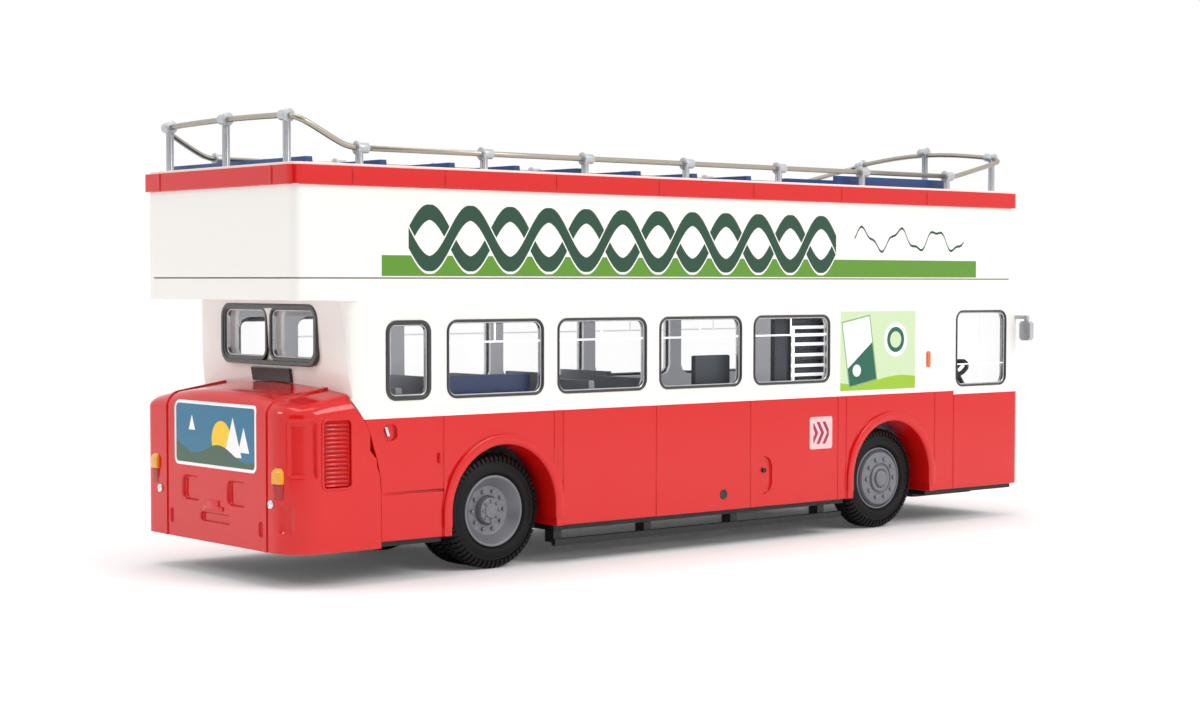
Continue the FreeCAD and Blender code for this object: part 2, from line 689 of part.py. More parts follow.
# Staircase behind the cab: solid treads, the panel at its foot and the grab ladder.
def make_staircase():
    body = new_body("staircase")
    floor, steps, tread, rise = "dims.lower_floor", 8, 2.3, 3.05
    corners = [(along("58"), floor)]
    for number in range(steps):
        corners.append((along(f"58 + {number} * {tread}"), f"{floor} + {number + 1} * {rise}"))
        corners.append((along(f"58 + {number + 1} * {tread}"), f"{floor} + {number + 1} * {rise}"))
    corners.append((along(f"58 + {steps} * {tread}"), floor))
    across_pad(body, -1, "3.4", "9.9", lambda s: outline(s, corners))
    pad(body, "XY_Plane", floor, "19.4", boxes([
        (along("57.5"), "-13.3", along("58.3"), "-3.4"), (along("47.6"), "-13.3", along("57.5"), "-12.5")]))
    across_pad(body, -1, "13.3", "13.9", boxes([(along("50.2"), "19.8", along("56.2"), "28.3")]))
    cells = [f"20.3 + {number} * 1.6" for number in range(5)]
    side_cut(body, -1, "dims.half_width - 13.35",
             boxes([(along("50.7"), low, along("55.7"), f"{low} + 1.1") for low in cells]))
    return body


# Cab: driver's seat, wheel and the wall behind.
def make_cab():
    body = new_body("cab")
    floor = "dims.base_top"
    pad(body, "XY_Plane", floor, "22", lambda s: box_outline(
        s, along("77"), "-14.4", along("77.8"), "-3.4"))
    add_seats(body, ["79.2"], "10.4", "-12.8", "-7.2")
    pad(body, "XY_Plane", floor, "4.4", lambda s: box_outline(
        s, along("80"), "-11.6", along("83.6"), "-8.4"))
    pad(body, "XY_Plane", floor, "11.2", lambda s: box_outline(
        s, along("88.6"), "-14.4", along("92.2"), "14.4"))
    return body


def make_steering_wheel():
    rim = Part.Face(ring(Vector(0, 0, 0), Vector(0, 0, 1), 2.1, 12)).cut(
        Part.Face(ring(Vector(0, 0, 0), Vector(0, 0, 1), 1.65, 12))).extrude(Vector(0, 0, 0.45))
    column = bar(Vector(0, 0, -3.4), Vector(0, 0, 0.2), 0.35)
    spoke = Part.makeBox(3.4, 0.5, 0.3, Vector(-1.7, -0.25, 0.05))
    item = solid_feature("steering_wheel", rim.fuse([column, spoke]).removeSplitter())
    item.Placement = Placement(Vector(value(along("87.2")), -10.0, 20.6),
                               Rotation(Vector(0, 1, 0), -38))


# Handrail: steel wire on silver posts whose sleeves clasp it.
def ring(centre, direction, radius, sides=6):
    """Regular outline about a point, square to a direction."""
    turn = Rotation(Vector(0, 0, 1), direction)
    angles = [2 * math.pi * (k + 0.5) / sides for k in range(sides)]
    spots = [centre + turn.multVec(Vector(radius * math.cos(a), radius * math.sin(a), 0)) for a in angles]
    return Part.Wire(Part.makePolygon(spots + spots[:1]))


def bar(start, end, radius, sides=6):
    """Straight bar between two points."""
    return Part.Face(ring(start, end - start, radius, sides)).extrude(end - start)


def wire_run(points, radius, bends):
    """Six-sided wire along straight runs that meet in bends, each of a few flats."""
    route = [points[0]]
    for before, corner, after, bend in zip(points, points[1:], points[2:], bends):
        back = (before - corner).normalize()
        ahead = (after - corner).normalize()
        half = back.getAngle(ahead) / 2
        reach = bend / math.tan(half)
        middle = corner + (back + ahead).normalize() * (bend / math.sin(half) - bend)
        arc = Part.Arc(corner + back * reach, middle, corner + ahead * reach)
        route += arc.discretize(Number=3 if half > 1.2 else 4)
    route.append(points[-1])
    profile = ring(points[0], points[1] - points[0], radius)
    mitred = 1
    return Part.Wire(Part.makePolygon(route)).makePipeShell([profile], True, True, mitred)


def post(foot, head, along_rail, wires):
    """Upright with a sleeve that runs mostly to one side of its head, cut out for the wires."""
    ends = [head + along_rail * value(f"dims.{name}") for name in ("sleeve_start", "sleeve_end")]
    upright = bar(foot, head, value("dims.post_radius"), 4)
    sleeve = bar(*ends, value("dims.sleeve_radius"))
    return upright.fuse(sleeve).removeSplitter().cut(wires)


def make_hoop(name, join, drop, x_end, corner_z, rise, bow):
    """Wire that climbs from the side rails to two corners and bows up between them."""
    across, side_z = value("dims.rail_inset"), value("dims.rail_side")
    corner_y = across - 0.5
    points = [
        Vector(join, across, side_z), Vector(join + drop, across, side_z),
        Vector(x_end, corner_y, corner_z), Vector(x_end, 0, corner_z + rise),
        Vector(x_end, -corner_y, corner_z), Vector(join + drop, -across, side_z),
        Vector(join, -across, side_z),
    ]
    hoop = wire_run(points, value("dims.rail_wire"), (5.0, 2.0, bow, 2.0, 5.0))
    solid_feature(name, hoop)
    return hoop


def make_handrail():
    across, low, side_z = (value(f"dims.{name}") for name in ("rail_inset", "lip_top", "rail_side"))
    places = [value(along(x)) for x in (-18.0, -1.0, 14.0, 30.2, 46.3, 61.9, 79.0)]
    tail, nose = value(along("-25.7")), value(along("91.7"))
    rear_z, front_z = value("dims.rail_rear"), value("dims.rail_front")
    hoops = {
        "rear": make_hoop("rail_rear", places[0], -1.6, tail, rear_z, 0.5, 300.0),
        "front": make_hoop("rail_front", places[-1], 1.6, nose, front_z, 3.0, 58.0),
    }
    for name, sign in (("left", 1), ("right", -1)):
        y = sign * across
        rail = bar(Vector(places[0], y, side_z), Vector(places[-1], y, side_z), value("dims.rail_wire"))
        solid_feature(f"rail_{name}", rail)
        wires = [rail, *hoops.values()]
        heads = [post(Vector(x, y, low), Vector(x, y, side_z), Vector(1, 0, 0), wires) for x in places]
        solid_feature(f"posts_{name}", Part.makeCompound(heads))
    # Posts of the hoops: distance from the middle plane and height over the corners.
    for end, x, base, slope, feet in (("rear", tail, rear_z, 0.034, ((0.0, 0.32), (12.7, 0.06))),
                                      ("front", nose, front_z, 0.2, ((0.0, 1.79), (12.5, 0.43)))):
        heads = []
        for y, lift in feet:
            for sign in ((1, -1) if y else (0,)):
                way = Vector(0, 1, -sign * slope).normalize()
                head = Vector(x, sign * y, base + lift)
                heads.append(post(Vector(x, sign * y, low), head, way, [hoops[end]]))
        solid_feature(f"posts_{end}", Part.makeCompound(heads))


# Guard rails between the axles, hung from the base.
def make_guards():
    base = value("dims.base_low")
    for name, side in (("guard_left", 1), ("guard_right", -1)):
        start = value(along("9.2"))
        length = 48.7
        y = side * 15.1
        rail = Part.makeBox(length, 0.7, 0.8, Vector(start, y - 0.35, 2.1))
        hangers = []
        for x in (9.8, 24.0, 38.6, 54.4):
            inner = side * 13.5
            low = Vector(value(along(x)) - 0.6, min(y, inner), 2.5)
            hangers.append(Part.makeBox(1.2, abs(y - inner), base - 2.5, low))
        solid_feature(name, rail.fuse(hangers).removeSplitter())


def make_mirrors():
    for name, side in (("mirror_left", 1), ("mirror_right", -1)):
        x = value(along("93.0"))
        head = Part.makeBox(0.8, 1.9, 2.7, Vector(x - 0.4, side * 18.0 - 0.95, 25.0))
        head = head.makeChamfer(0.35, [edge for edge in head.Edges if abs(edge.tangentAt(0).x) > 0.9])
        arm = Part.makeBox(0.5, 2.2, 0.5, Vector(x - 0.25, min(side * 16.1, side * 18.3), 28.0))
        drop = Part.makeBox(0.5, 0.5, 0.9, Vector(x - 0.25, side * 18.05 - 0.25, 27.5))
        solid_feature(name, head.fuse([arm, drop]).removeSplitter())


def make_lamps():
    front = value(along("dims.lower_front"))
    rear = value(along("dims.cover_rear"))
    half = value("dims.half_width")
    heads = [bar(Vector(front, y, 9.6), Vector(front + 0.3, y, 9.6), 1.05, 12)
             for y in (-12.6, -9.9, 9.9, 12.6)]
    solid_feature("headlamps", Part.makeCompound(heads))
    tails = []
    for y in (-13.2, 13.4):
        lens = Part.makeBox(0.3, 2.0, 1.9, Vector(rear - 0.4, y - 1.0, 11.4))
        top = [edge for edge in lens.Edges if edge.BoundBox.ZMin > 13.2 and edge.BoundBox.XLength > 0.1]
        tails.append(lens.makeChamfer(0.5, top))
    solid_feature("rear_lamps", Part.makeCompound(tails))
    discs = [bar(Vector(rear - 0.25, y, 9.2), Vector(rear, y, 9.2), 0.5, 8) for y in (-12.0, 12.3)]
    solid_feature("reflectors", Part.makeCompound(discs))
    place = value(along("73.8"))
    sides = [Part.makeBox(0.9, 0.35, 2.2, Vector(place, y, 21.6)) for y in (-half - 0.35, half)]
    solid_feature("side_lamps", Part.makeCompound(sides))


# Folded entrance doors: four glazed leaves that fill the opening.
def make_doors():
    body = new_body("entrance_doors")
    pad(body, "XZ_Plane", "-dims.half_width + 0.3", "0.7", lambda s: box_outline(
        s, along("77.4"), "5.6", along("90.4"), "29.3", "0.8"))
    leaves = [f"78.1 + {number} * 3.0" for number in range(4)]
    pocket(body, "XZ_Plane", "-dims.half_width", "2", boxes([
        (along(left), "9.0", along(f"{left} + 2.5"), "28.4") for left in leaves], "0.4"))
    return body


def check_and_write():
    doc.recompute()
    broken = [item.Name for item in doc.Objects if {"Invalid", "Error"} & set(item.State)]
    if broken:
        raise RuntimeError(f"failed objects: {broken}")
    os.makedirs("parts", exist_ok=True)
    for item in parts:
        shape = item.Shape
        if shape.isNull() or not shape.isValid() or not shape.Solids:
            raise RuntimeError(f"bad shape: {item.Label}")
    for item in parts:
        box = item.Shape.BoundBox
        item.Shape.exportStep(f"parts/{item.Label}.step")
        print(f"{item.Label:22s} {len(item.Shape.Solids)} solids {item.Shape.Volume:9.2f} mm3 "
              f"x {box.XMin:.2f}..{box.XMax:.2f} y {box.YMin:.2f}..{box.YMax:.2f} "
              f"z {box.ZMin:.2f}..{box.ZMax:.2f}")


make_lower_body()
make_upper_body()
make_engine_cover()
make_chassis()
make_wheels()
make_glazing()
make_upper_seats()
make_lower_seats()
make_staircase()
make_cab()
make_steering_wheel()
make_handrail()
make_guards()
make_mirrors()
make_lamps()
make_doors()
check_and_write()
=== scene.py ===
import bmesh
import bpy
import json
import math
from mathutils import Matrix, Vector


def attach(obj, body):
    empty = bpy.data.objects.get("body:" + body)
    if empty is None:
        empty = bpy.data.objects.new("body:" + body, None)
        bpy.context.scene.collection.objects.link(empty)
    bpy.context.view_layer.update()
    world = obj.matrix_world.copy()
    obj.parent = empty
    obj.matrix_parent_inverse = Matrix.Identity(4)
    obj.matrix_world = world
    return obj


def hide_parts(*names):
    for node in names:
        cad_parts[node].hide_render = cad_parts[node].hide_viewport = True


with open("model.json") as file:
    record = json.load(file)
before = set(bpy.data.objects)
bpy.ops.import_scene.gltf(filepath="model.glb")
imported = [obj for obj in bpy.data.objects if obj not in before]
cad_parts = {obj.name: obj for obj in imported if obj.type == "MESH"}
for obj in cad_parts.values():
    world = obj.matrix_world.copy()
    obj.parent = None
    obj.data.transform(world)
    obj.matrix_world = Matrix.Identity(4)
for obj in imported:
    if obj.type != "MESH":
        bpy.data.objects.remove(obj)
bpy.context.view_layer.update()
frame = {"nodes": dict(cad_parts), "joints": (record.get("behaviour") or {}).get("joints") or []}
mm = 0.001

# Places along the bus are measured from a cross line just behind the rear axle,
# as in the drawings: the rear axle is 1.05 mm ahead of it.
jointPlace = {joint["name"]: joint["pos_m"] for joint in frame["joints"]}
datumX = jointPlace["rear_wheels_roll"][0] - 1.05 * mm
nodes = frame["nodes"]


def at(x, y, z):
    return Vector((datumX + x * mm, y * mm, z * mm))


directions = {"x": Vector((1.0, 0.0, 0.0)), "y": Vector((0.0, 1.0, 0.0)), "z": Vector((0.0, 0.0, 1.0))}


def shift(x, y, z):
    return Matrix.Translation((x * mm, y * mm, z * mm))


def stretchAcross(factor):
    return Matrix.Scale(factor, 4, directions["y"])


def deselectAll():
    for item in bpy.context.selected_objects:
        item.select_set(False)
    bpy.context.view_layer.objects.active = None


def makeActive(item):
    deselectAll()
    item.select_set(True)
    bpy.context.view_layer.objects.active = item


def keepPlaces(item):
    makeActive(item)
    bpy.ops.object.transform_apply(location=True, rotation=True, scale=True)
    return item


turns = {"x": (0, math.pi / 2, 0), "y": (math.pi / 2, 0, 0), "z": (0, 0, 0)}


def addCylinder(name, place, radius, depth, axis="z", vertices=32):
    deselectAll()
    bpy.ops.mesh.primitive_cylinder_add(vertices=vertices, radius=radius * mm, depth=depth * mm,
                                        location=place, rotation=turns[axis])
    item = bpy.context.active_object
    item.name = name
    return keepPlaces(item)


def addPlane(name, size, place=(0, 0, 0), rotation=(0, 0, 0)):
    deselectAll()
    bpy.ops.mesh.primitive_plane_add(size=size, location=place, rotation=rotation)
    item = bpy.context.active_object
    item.name = name
    return item


def addBox(name, low, high):
    deselectAll()
    bpy.ops.mesh.primitive_cube_add(size=mm, location=at(*(Vector(low) + Vector(high)) / 2))
    item = bpy.context.active_object
    item.name = name
    item.scale = Vector(high) - Vector(low)
    return keepPlaces(item)


def startEdit(item, kind="FACE"):
    makeActive(item)
    bpy.ops.object.mode_set(mode="EDIT")
    bpy.ops.mesh.select_mode(type=kind)


def endEdit():
    bpy.ops.object.mode_set(mode="OBJECT")


def selectAll():
    bpy.ops.mesh.select_all(action="SELECT")


# Selects the parts of an open edit mesh that pass a test.
def select(item, kind, test):
    bpy.ops.mesh.select_all(action="DESELECT")
    mesh = bmesh.from_edit_mesh(item.data)
    for part in getattr(mesh, kind):
        part.select_set(bool(test(part)))
    bmesh.update_edit_mesh(item.data)


# Faces are tested by their middle (mm) and normal, edges and points by the places of their ends.
def selectFaces(item, test):
    select(item, "faces", lambda face: test(face.calc_center_median() / mm, face.normal))


def selectEdges(item, test):
    select(item, "edges", lambda edge: all(test(vert.co / mm) for vert in edge.verts))


def selectPoints(item, test):
    select(item, "verts", lambda vert: test(vert.co / mm))


def selectAlong(item, way):
    select(item, "edges", lambda edge: abs(
        (edge.verts[1].co - edge.verts[0].co).dot(directions[way])) > 0.99 * edge.calc_length())


# A test for faces that look along an axis: "+z" up, "-z" down, "z" either way.
def facing(way, limit=0.9):
    direction = directions[way[-1]]
    if way[0] in "+-":
        return lambda middle, normal: normal.dot(direction) * (1 if way[0] == "+" else -1) > limit
    return lambda middle, normal: abs(normal.dot(direction)) > limit


def inset(thickness, depth=0.0, **settings):
    bpy.ops.mesh.inset(thickness=thickness * mm, depth=depth * mm, **settings)


def extrude(x, y, z):
    bpy.ops.mesh.extrude_region_move(TRANSFORM_OT_translate={"value": (x * mm, y * mm, z * mm)})


def slide(x, y, z):
    bpy.ops.transform.translate(value=(x * mm, y * mm, z * mm))


def roundEdges(width, segments, kind="EDGES"):
    bpy.ops.mesh.bevel(offset=width * mm, segments=segments, affect=kind)


def faceOutwards():
    selectAll()
    bpy.ops.mesh.normals_make_consistent(inside=False)


def mergePoints(distance):
    selectAll()
    bpy.ops.mesh.remove_doubles(threshold=distance * mm)


# Cuts the faces that pass a test with planes across one axis, without parting them.
def scoreFaces(item, test, way, places):
    for place in places:
        selectFaces(item, test)
        bpy.ops.mesh.bisect(plane_co=directions[way] * place * mm, plane_no=directions[way])


# The insets that step a flat cap inwards, from the radius and height of each ring.
def ringInsets(rings):
    return [(max(radius - nextRadius, 0.002), nextHeight - height)
            for (radius, height), (nextRadius, nextHeight) in zip(rings, rings[1:])]


def applyModifier(item, kind, **settings):
    makeActive(item)
    bpy.ops.object.modifier_add(type=kind)
    modifier = item.modifiers[-1]
    for name, setting in settings.items():
        setattr(modifier, name, setting)
    bpy.ops.object.modifier_apply(modifier=modifier.name)


def applyBevel(item, width, segments=2, angle=35, **settings):
    applyModifier(item, "BEVEL", width=width * mm, segments=segments, limit_method="ANGLE",
                  angle_limit=math.radians(angle), **settings)


def cutAway(item, cutter):
    applyModifier(item, "BOOLEAN", operation="DIFFERENCE", object=cutter, solver="EXACT")
    bpy.data.objects.remove(cutter)


# Steps the faces that pass a test in or out, then softens the piece's edges.
def pressFaces(item, test, steps, width, segments, angle=35):
    startEdit(item)
    selectFaces(item, test)
    for step in steps:
        inset(*step)
    endEdit()
    applyBevel(item, width, segments, angle)
    return item


def addObject(name, data):
    item = bpy.data.objects.new(name, data)
    bpy.context.scene.collection.objects.link(item)
    return item


def copyPiece(source, name, move):
    item = addObject(name, source.data.copy())
    item.data.transform(move)
    if move.determinant() < 0:
        item.data.flip_normals()
    return item


def joinPieces(name, items):
    deselectAll()
    for item in items:
        item.select_set(True)
    bpy.context.view_layer.objects.active = items[0]
    if len(items) > 1:
        bpy.ops.object.join()
    items[0].name = name
    return items[0]


# Smooth shading that leaves large flat faces flat.
def shadeEvenly(item, angle):
    makeActive(item)
    bpy.ops.object.shade_smooth_by_angle(angle=math.radians(angle))
    applyModifier(item, "WEIGHTED_NORMAL", mode="FACE_AREA", weight=50, keep_sharp=True)


# A smooth angle of 0 leaves the shading as it is.
def dress(item, kind, body="root", replaced=(), smooth=35):
    item.data.materials.clear()
    item.data.materials.append(finish[kind])
    if smooth:
        makeActive(item)
        bpy.ops.object.shade_smooth_by_angle(angle=math.radians(smooth))
    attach(item, body)
    if replaced:
        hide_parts(*replaced)


# An operator that adds a Math node. Its reflected form takes the two values the other way round.
def mathNode(operation, reflected=False):
    def method(self, other):
        return self.math(operation, *((other, self) if reflected else (self, other)))
    return method


# A socket of a shader, with the usual operators.
class Wire:
    def __init__(self, tree, socket):
        self.tree = tree
        self.socket = socket

    def node(self, kind, settings=None, inputs=None, output=0):
        item = self.tree.nodes.new(kind)
        for name, setting in (settings or {}).items():
            setattr(item, name, setting)
        for name, link in (inputs or {}).items():
            if isinstance(link, Wire):
                self.tree.links.new(link.socket, item.inputs[name])
            else:
                item.inputs[name].default_value = link
        return Wire(self.tree, item.outputs[output])

    def math(self, operation, *values):
        return self.node("ShaderNodeMath", {"operation": operation}, dict(enumerate(values)))

    __add__ = mathNode("ADD")
    __radd__ = mathNode("ADD", reflected=True)
    __sub__ = mathNode("SUBTRACT")
    __rsub__ = mathNode("SUBTRACT", reflected=True)
    __mul__ = mathNode("MULTIPLY")
    __rmul__ = mathNode("MULTIPLY", reflected=True)
    __truediv__ = mathNode("DIVIDE")
    __rtruediv__ = mathNode("DIVIDE", reflected=True)
    __pow__ = mathNode("POWER")
    __rpow__ = mathNode("POWER", reflected=True)
    __gt__ = mathNode("GREATER_THAN")
    __lt__ = mathNode("LESS_THAN")
    atLeast = mathNode("MAXIMUM")
    atMost = mathNode("MINIMUM")

    def __abs__(self):
        return self.math("ABSOLUTE", self)

    def between(self, low, high):
        return (self > low) * (self < high)

    def sine(self):
        return self.math("SINE", self)

    def fraction(self):
        return self.math("FRACT", self)


def srgb(red, green, blue):
    values = [c / 255 for c in (red, green, blue)]
    linear = [c / 12.92 if c <= 0.04045 else ((c + 0.055) / 1.055) ** 2.4 for c in values]
    return (*linear, 1.0)


# A material, its shader and the place of each point on the piece.
def newMaterial(name):
    material = bpy.data.materials.new(name)
    material.use_nodes = True
    tree = material.node_tree
    return material, tree.nodes["Principled BSDF"], Wire(tree, None).node("ShaderNodeTexCoord", output=3)


# x, y and z of a place, in millimetres, x from the cross line.
def axes(place):
    parts = [place.node("ShaderNodeSeparateXYZ", inputs={0: place}, output=k) for k in range(3)]
    x, y, z = (part * 1000 for part in parts)
    return x - datumX / mm, y, z


def mixColour(place, factor, first, second):
    return place.node("ShaderNodeMix", {"data_type": "RGBA"}, {0: factor, 6: first, 7: second}, output=2)


def plug(shader, name, wire):
    wire.tree.links.new(wire.socket, shader.inputs[name])


# Fine grain on the roughness and, unless its depth is 0, on the surface.
def addGrain(shader, place, scale, spread, roughness, strength=0.1, depth=0.05):
    grain = place.node("ShaderNodeTexNoise", {"noise_dimensions": "3D"},
                       {"Vector": place, "Scale": scale, "Detail": 2.0})
    plug(shader, "Roughness", grain * spread + roughness)
    if depth:
        plug(shader, "Normal", place.node("ShaderNodeBump", inputs={
            "Height": grain, "Strength": strength, "Distance": depth * mm}))
    return grain


black = (0.0, 0.0, 0.0, 1.0)
white = (1.0, 1.0, 1.0, 1.0)
paint = {
    "white": srgb(246, 243, 238),
    "red": srgb(214, 20, 18),
    "green": srgb(92, 146, 36),
    "darkGreen": srgb(24, 70, 48),
    # painted shade for the groove where the two castings meet
    "seamShade": srgb(186, 178, 168),
    # painted shade: a darker red where the lamp pods stand on the cover
    "podShadeRed": srgb(172, 26, 24),
    "waist": 18.2,
    "frontWaist": 17.7,
    "panelEdge": 79.6,
    "side": 16.0,
    "ends": (-26.8, 92.4),
    "seam": 33.7,
    "band": (43.6, 45.75),
    "stripe": ((33.85, 36.15), (-15.8, 84.2)),
}
# The inner walls of the saloon glow faintly: painted light that stands in for the light the windows let in
# all round.
innerWallGlow = {"along": (-18.9, 90.0), "half": 15.3, "height": (17.0, 30.8), "light": srgb(112, 114, 118)}


# 1 inside a box with rounded corners, across and up being measured from its middle.
def roundedBox(across, up, halfWidth, halfHeight, corner):
    sideways = (abs(across) - (halfWidth - corner)).atLeast(0.0)
    upwards = (abs(up) - (halfHeight - corner)).atLeast(0.0)
    return (sideways * sideways + upwards * upwards) < corner * corner


# Gloss paint over a casting, with painted light: a faint glow on the saloon's inner walls.
def glossPaint(name, colourOf):
    material, shader, place = newMaterial(name)
    x, y, z = axes(place)
    plug(shader, "Base Color", colourOf(place, x, y, z))
    addGrain(shader, place, 900.0, 0.05, 0.08, 0.05, 0.04)
    # Painted light: the saloon's inner walls glow, as if lit through the windows.
    inside = (abs(y) < innerWallGlow["half"]) * z.between(*innerWallGlow["height"])
    inside = inside * x.between(*innerWallGlow["along"])
    plug(shader, "Emission Color", mixColour(place, inside, black, innerWallGlow["light"]))
    shader.inputs["Emission Strength"].default_value = 1.0
    return material


sidePoster = {
    "middle": (64.3, 24.1),
    "half": (7.38, 5.25),
    "ground": srgb(206, 226, 184),
    "lime": srgb(156, 196, 44),
    "corner": 0.1,
    "bank": {"height": -3.9, "pace": 0.35, "rise": 0.5},
    "sheet": srgb(246, 247, 242),
    "shade": srgb(140, 174, 128),
    "deep": srgb(22, 98, 76),
    "leaf": {"middle": -3.7, "half": 2.6, "low": -4.3, "high": 4.2, "edge": 0.2, "lean": (0.17, 0.985)},
    "discs": ((3.4, 1.4, 2.3, "sheet"), (3.4, 1.4, 1.7, "deep"), (3.4, 1.4, 1.1, "ground"),
              (-4.2, -2.6, 0.8, "sheet")),
}


# A plain poster: a leaning sheet with a dark foot and discs over a lime bank.
def posterColour(place, x, z, under):
    u = x - sidePoster["middle"][0]
    v = z - sidePoster["middle"][1]
    bank, leaf = sidePoster["bank"], sidePoster["leaf"]
    below = v < (u * bank["pace"]).sine() * bank["rise"] + bank["height"]
    colour = mixColour(place, below, sidePoster["ground"], sidePoster["lime"])
    lean, upright = leaf["lean"]
    tiltedU = (u - leaf["middle"]) * upright + v * lean
    tiltedV = v * upright - (u - leaf["middle"]) * lean
    border, sheet = (
        (abs(tiltedU) < leaf["half"] + edge) * tiltedV.between(leaf["low"] - edge, leaf["high"] + edge)
        for edge in (leaf["edge"], 0.0))
    foot = sheet * (tiltedV < tiltedU * 0.5 - 0.6)
    for mask, tone in ((border, "shade"), (sheet, "sheet"), (foot, "deep")):
        colour = mixColour(place, mask, colour, sidePoster[tone])
    for across, up, radius, tone in sidePoster["discs"]:
        distance = (u - across) * (u - across) + (v - up) * (v - up)
        colour = mixColour(place, distance < radius * radius, colour, sidePoster[tone])
    return mixColour(place, roundedBox(u, v, *sidePoster["half"], sidePoster["corner"]), under, colour)


badge = {
    "middle": (53.37, 13.55),
    "half": 2.1,
    "corner": 0.35,
    "marks": {"half": 1.45, "corner": 0.4, "lean": 0.6, "pace": 0.9, "bar": (0.0, 0.42),
              "line": (0.42, 0.52)},
    "ground": srgb(240, 196, 200),
    "mark": srgb(170, 30, 60),
    "ink": srgb(60, 60, 120),
}


# A square badge with plain slanted bars.
def badgeColour(place, x, z, under):
    u = x - badge["middle"][0]
    v = z - badge["middle"][1]
    marks, half = badge["marks"], badge["half"]
    bars = ((u + abs(v) * marks["lean"]) * marks["pace"]).fraction()
    within = roundedBox(u, v, marks["half"], marks["half"], marks["corner"])
    colour = mixColour(place, bars.between(*marks["bar"]) * within, badge["ground"], badge["mark"])
    colour = mixColour(place, bars.between(*marks["line"]) * within, colour, badge["ink"])
    return mixColour(place, roundedBox(u, v, half, half, badge["corner"]), under, colour)


def lowerColour(place, x, y, z):
    ahead = x > paint["panelEdge"]
    waist = ahead * (paint["frontWaist"] - paint["waist"]) + paint["waist"]
    colour = mixColour(place, z > waist, paint["red"], paint["white"])
    offside = y < -paint["side"]
    return mixColour(place, offside, colour, badgeColour(place, x, z, posterColour(place, x, z, colour)))


motif = {
    "ends": (-12.2, 56.0),
    "pitch": 11.37,
    "middle": 38.1,
    "rise": 2.85,
    "half": 0.85,
    "swell": 0.3,
    "edge": 0.28,
    "line": {"ends": (59.5, 81.5), "middle": 38.9, "half": 0.16, "waves": ((0.85, 1.3), (2.3, 0.35))},
}


# A plait of two dark ribbons with pale edges over the stripe, and a thin wavy line ahead of it.
def motifColour(place, x, z, under):
    within = x.between(*motif["ends"])
    turn = (x - motif["ends"][0]) * (2 * math.pi / motif["pitch"])
    sway = turn.sine() * motif["rise"]
    slope = (turn + math.pi / 2).sine()
    thick = abs(slope) * motif["swell"] + motif["half"]
    colour = under
    for sign in (1.0, -1.0):
        distance = abs(z - motif["middle"] - sway * sign)
        colour = mixColour(place, within * (distance < thick + motif["edge"]), colour, paint["white"])
        colour = mixColour(place, within * (distance < thick), colour, paint["darkGreen"])
    line = motif["line"]
    wave = z - line["middle"]
    for pace, rise in line["waves"]:
        wave = wave - (x * pace).sine() * rise
    return mixColour(place, (abs(wave) < line["half"]) * x.between(*line["ends"]), colour, paint["darkGreen"])


def upperColour(place, x, y, z):
    side = abs(y) > paint["side"]
    rear, front = paint["ends"]
    outer = (side + (x > front) + (x < rear)) > 0.5
    heights, places = paint["stripe"]
    colour = mixColour(place, z.between(*heights) * x.between(*places), paint["white"], paint["green"])
    colour = mixColour(place, side, paint["white"], motifColour(place, x, z, colour))
    # Painted shade in the groove at the seam, under the upper casting's edge.
    colour = mixColour(place, z < paint["seam"], colour, paint["seamShade"])
    return mixColour(place, z.between(*paint["band"]) * outer, colour, paint["red"])


rearPoster = {
    "middle": (0.0, 16.0),
    "half": (8.95, 3.7),
    "corners": (0.8, 0.5),
    "border": 0.35,
    "sky": srgb(32, 112, 148),
    "hill": srgb(58, 92, 70),
    "yellow": srgb(250, 204, 20),
    "pale": srgb(250, 250, 250),
    "sun": (1.5, -0.4, 2.098),
    "sails": ((4.0, -2.2, 4.4), (6.3, -1.6, 2.8), (-5.0, 0.4, 1.7)),
    "sailWidth": 0.42,
    "hills": {"height": -1.7, "fall": 0.05, "pace": 0.55, "start": 1.0, "rise": 0.7},
}
# Where the cover is painted a darker red under the tail lamps: painted shade on the pods.
podShadeMarks = {"low": 9.75, "high": 11.42, "half": 0.7, "middles": (13.4, -13.2), "behind": -25.9}


# A plain picture on the engine cover: sky, rolling hills, a low sun and three sails, with painted shade: a
# darker red on the lamp pods.
def coverColour(place, x, y, z):
    u = rearPoster["middle"][0] - y
    v = z - rearPoster["middle"][1]
    half, high = rearPoster["half"]
    across, up, radius = rearPoster["sun"]
    sun = (u - across) * (u - across) + (v - up) * (v - up) < radius * radius
    colour = mixColour(place, sun, rearPoster["sky"], rearPoster["yellow"])
    for across, foot, size in rearPoster["sails"]:
        rise = (v - foot) / size
        sail = rise.between(0.0, 1.0) * (abs(u - across) < (1.0 - rise) * size * rearPoster["sailWidth"])
        colour = mixColour(place, sail, colour, rearPoster["pale"])
    hills = rearPoster["hills"]
    wave = (u * hills["pace"] + hills["start"]).sine() * hills["rise"]
    colour = mixColour(place, v < wave - u * hills["fall"] + hills["height"], colour, rearPoster["hill"])
    edge, (outerCorner, innerCorner) = rearPoster["border"], rearPoster["corners"]
    inside = roundedBox(u, v, half - edge, high - edge, innerCorner)
    picture = mixColour(place, inside, rearPoster["pale"], colour)
    # Painted shade: the lamp pods are painted a darker red.
    behind = x < podShadeMarks["behind"]
    pods = sum(abs(y - middle) < podShadeMarks["half"] for middle in podShadeMarks["middles"])
    pods = pods * z.between(podShadeMarks["low"], podShadeMarks["high"]) * behind
    red = mixColour(place, pods, paint["red"], paint["podShadeRed"])
    return mixColour(place, roundedBox(u, v, half, high, outerCorner) * behind, red, picture)


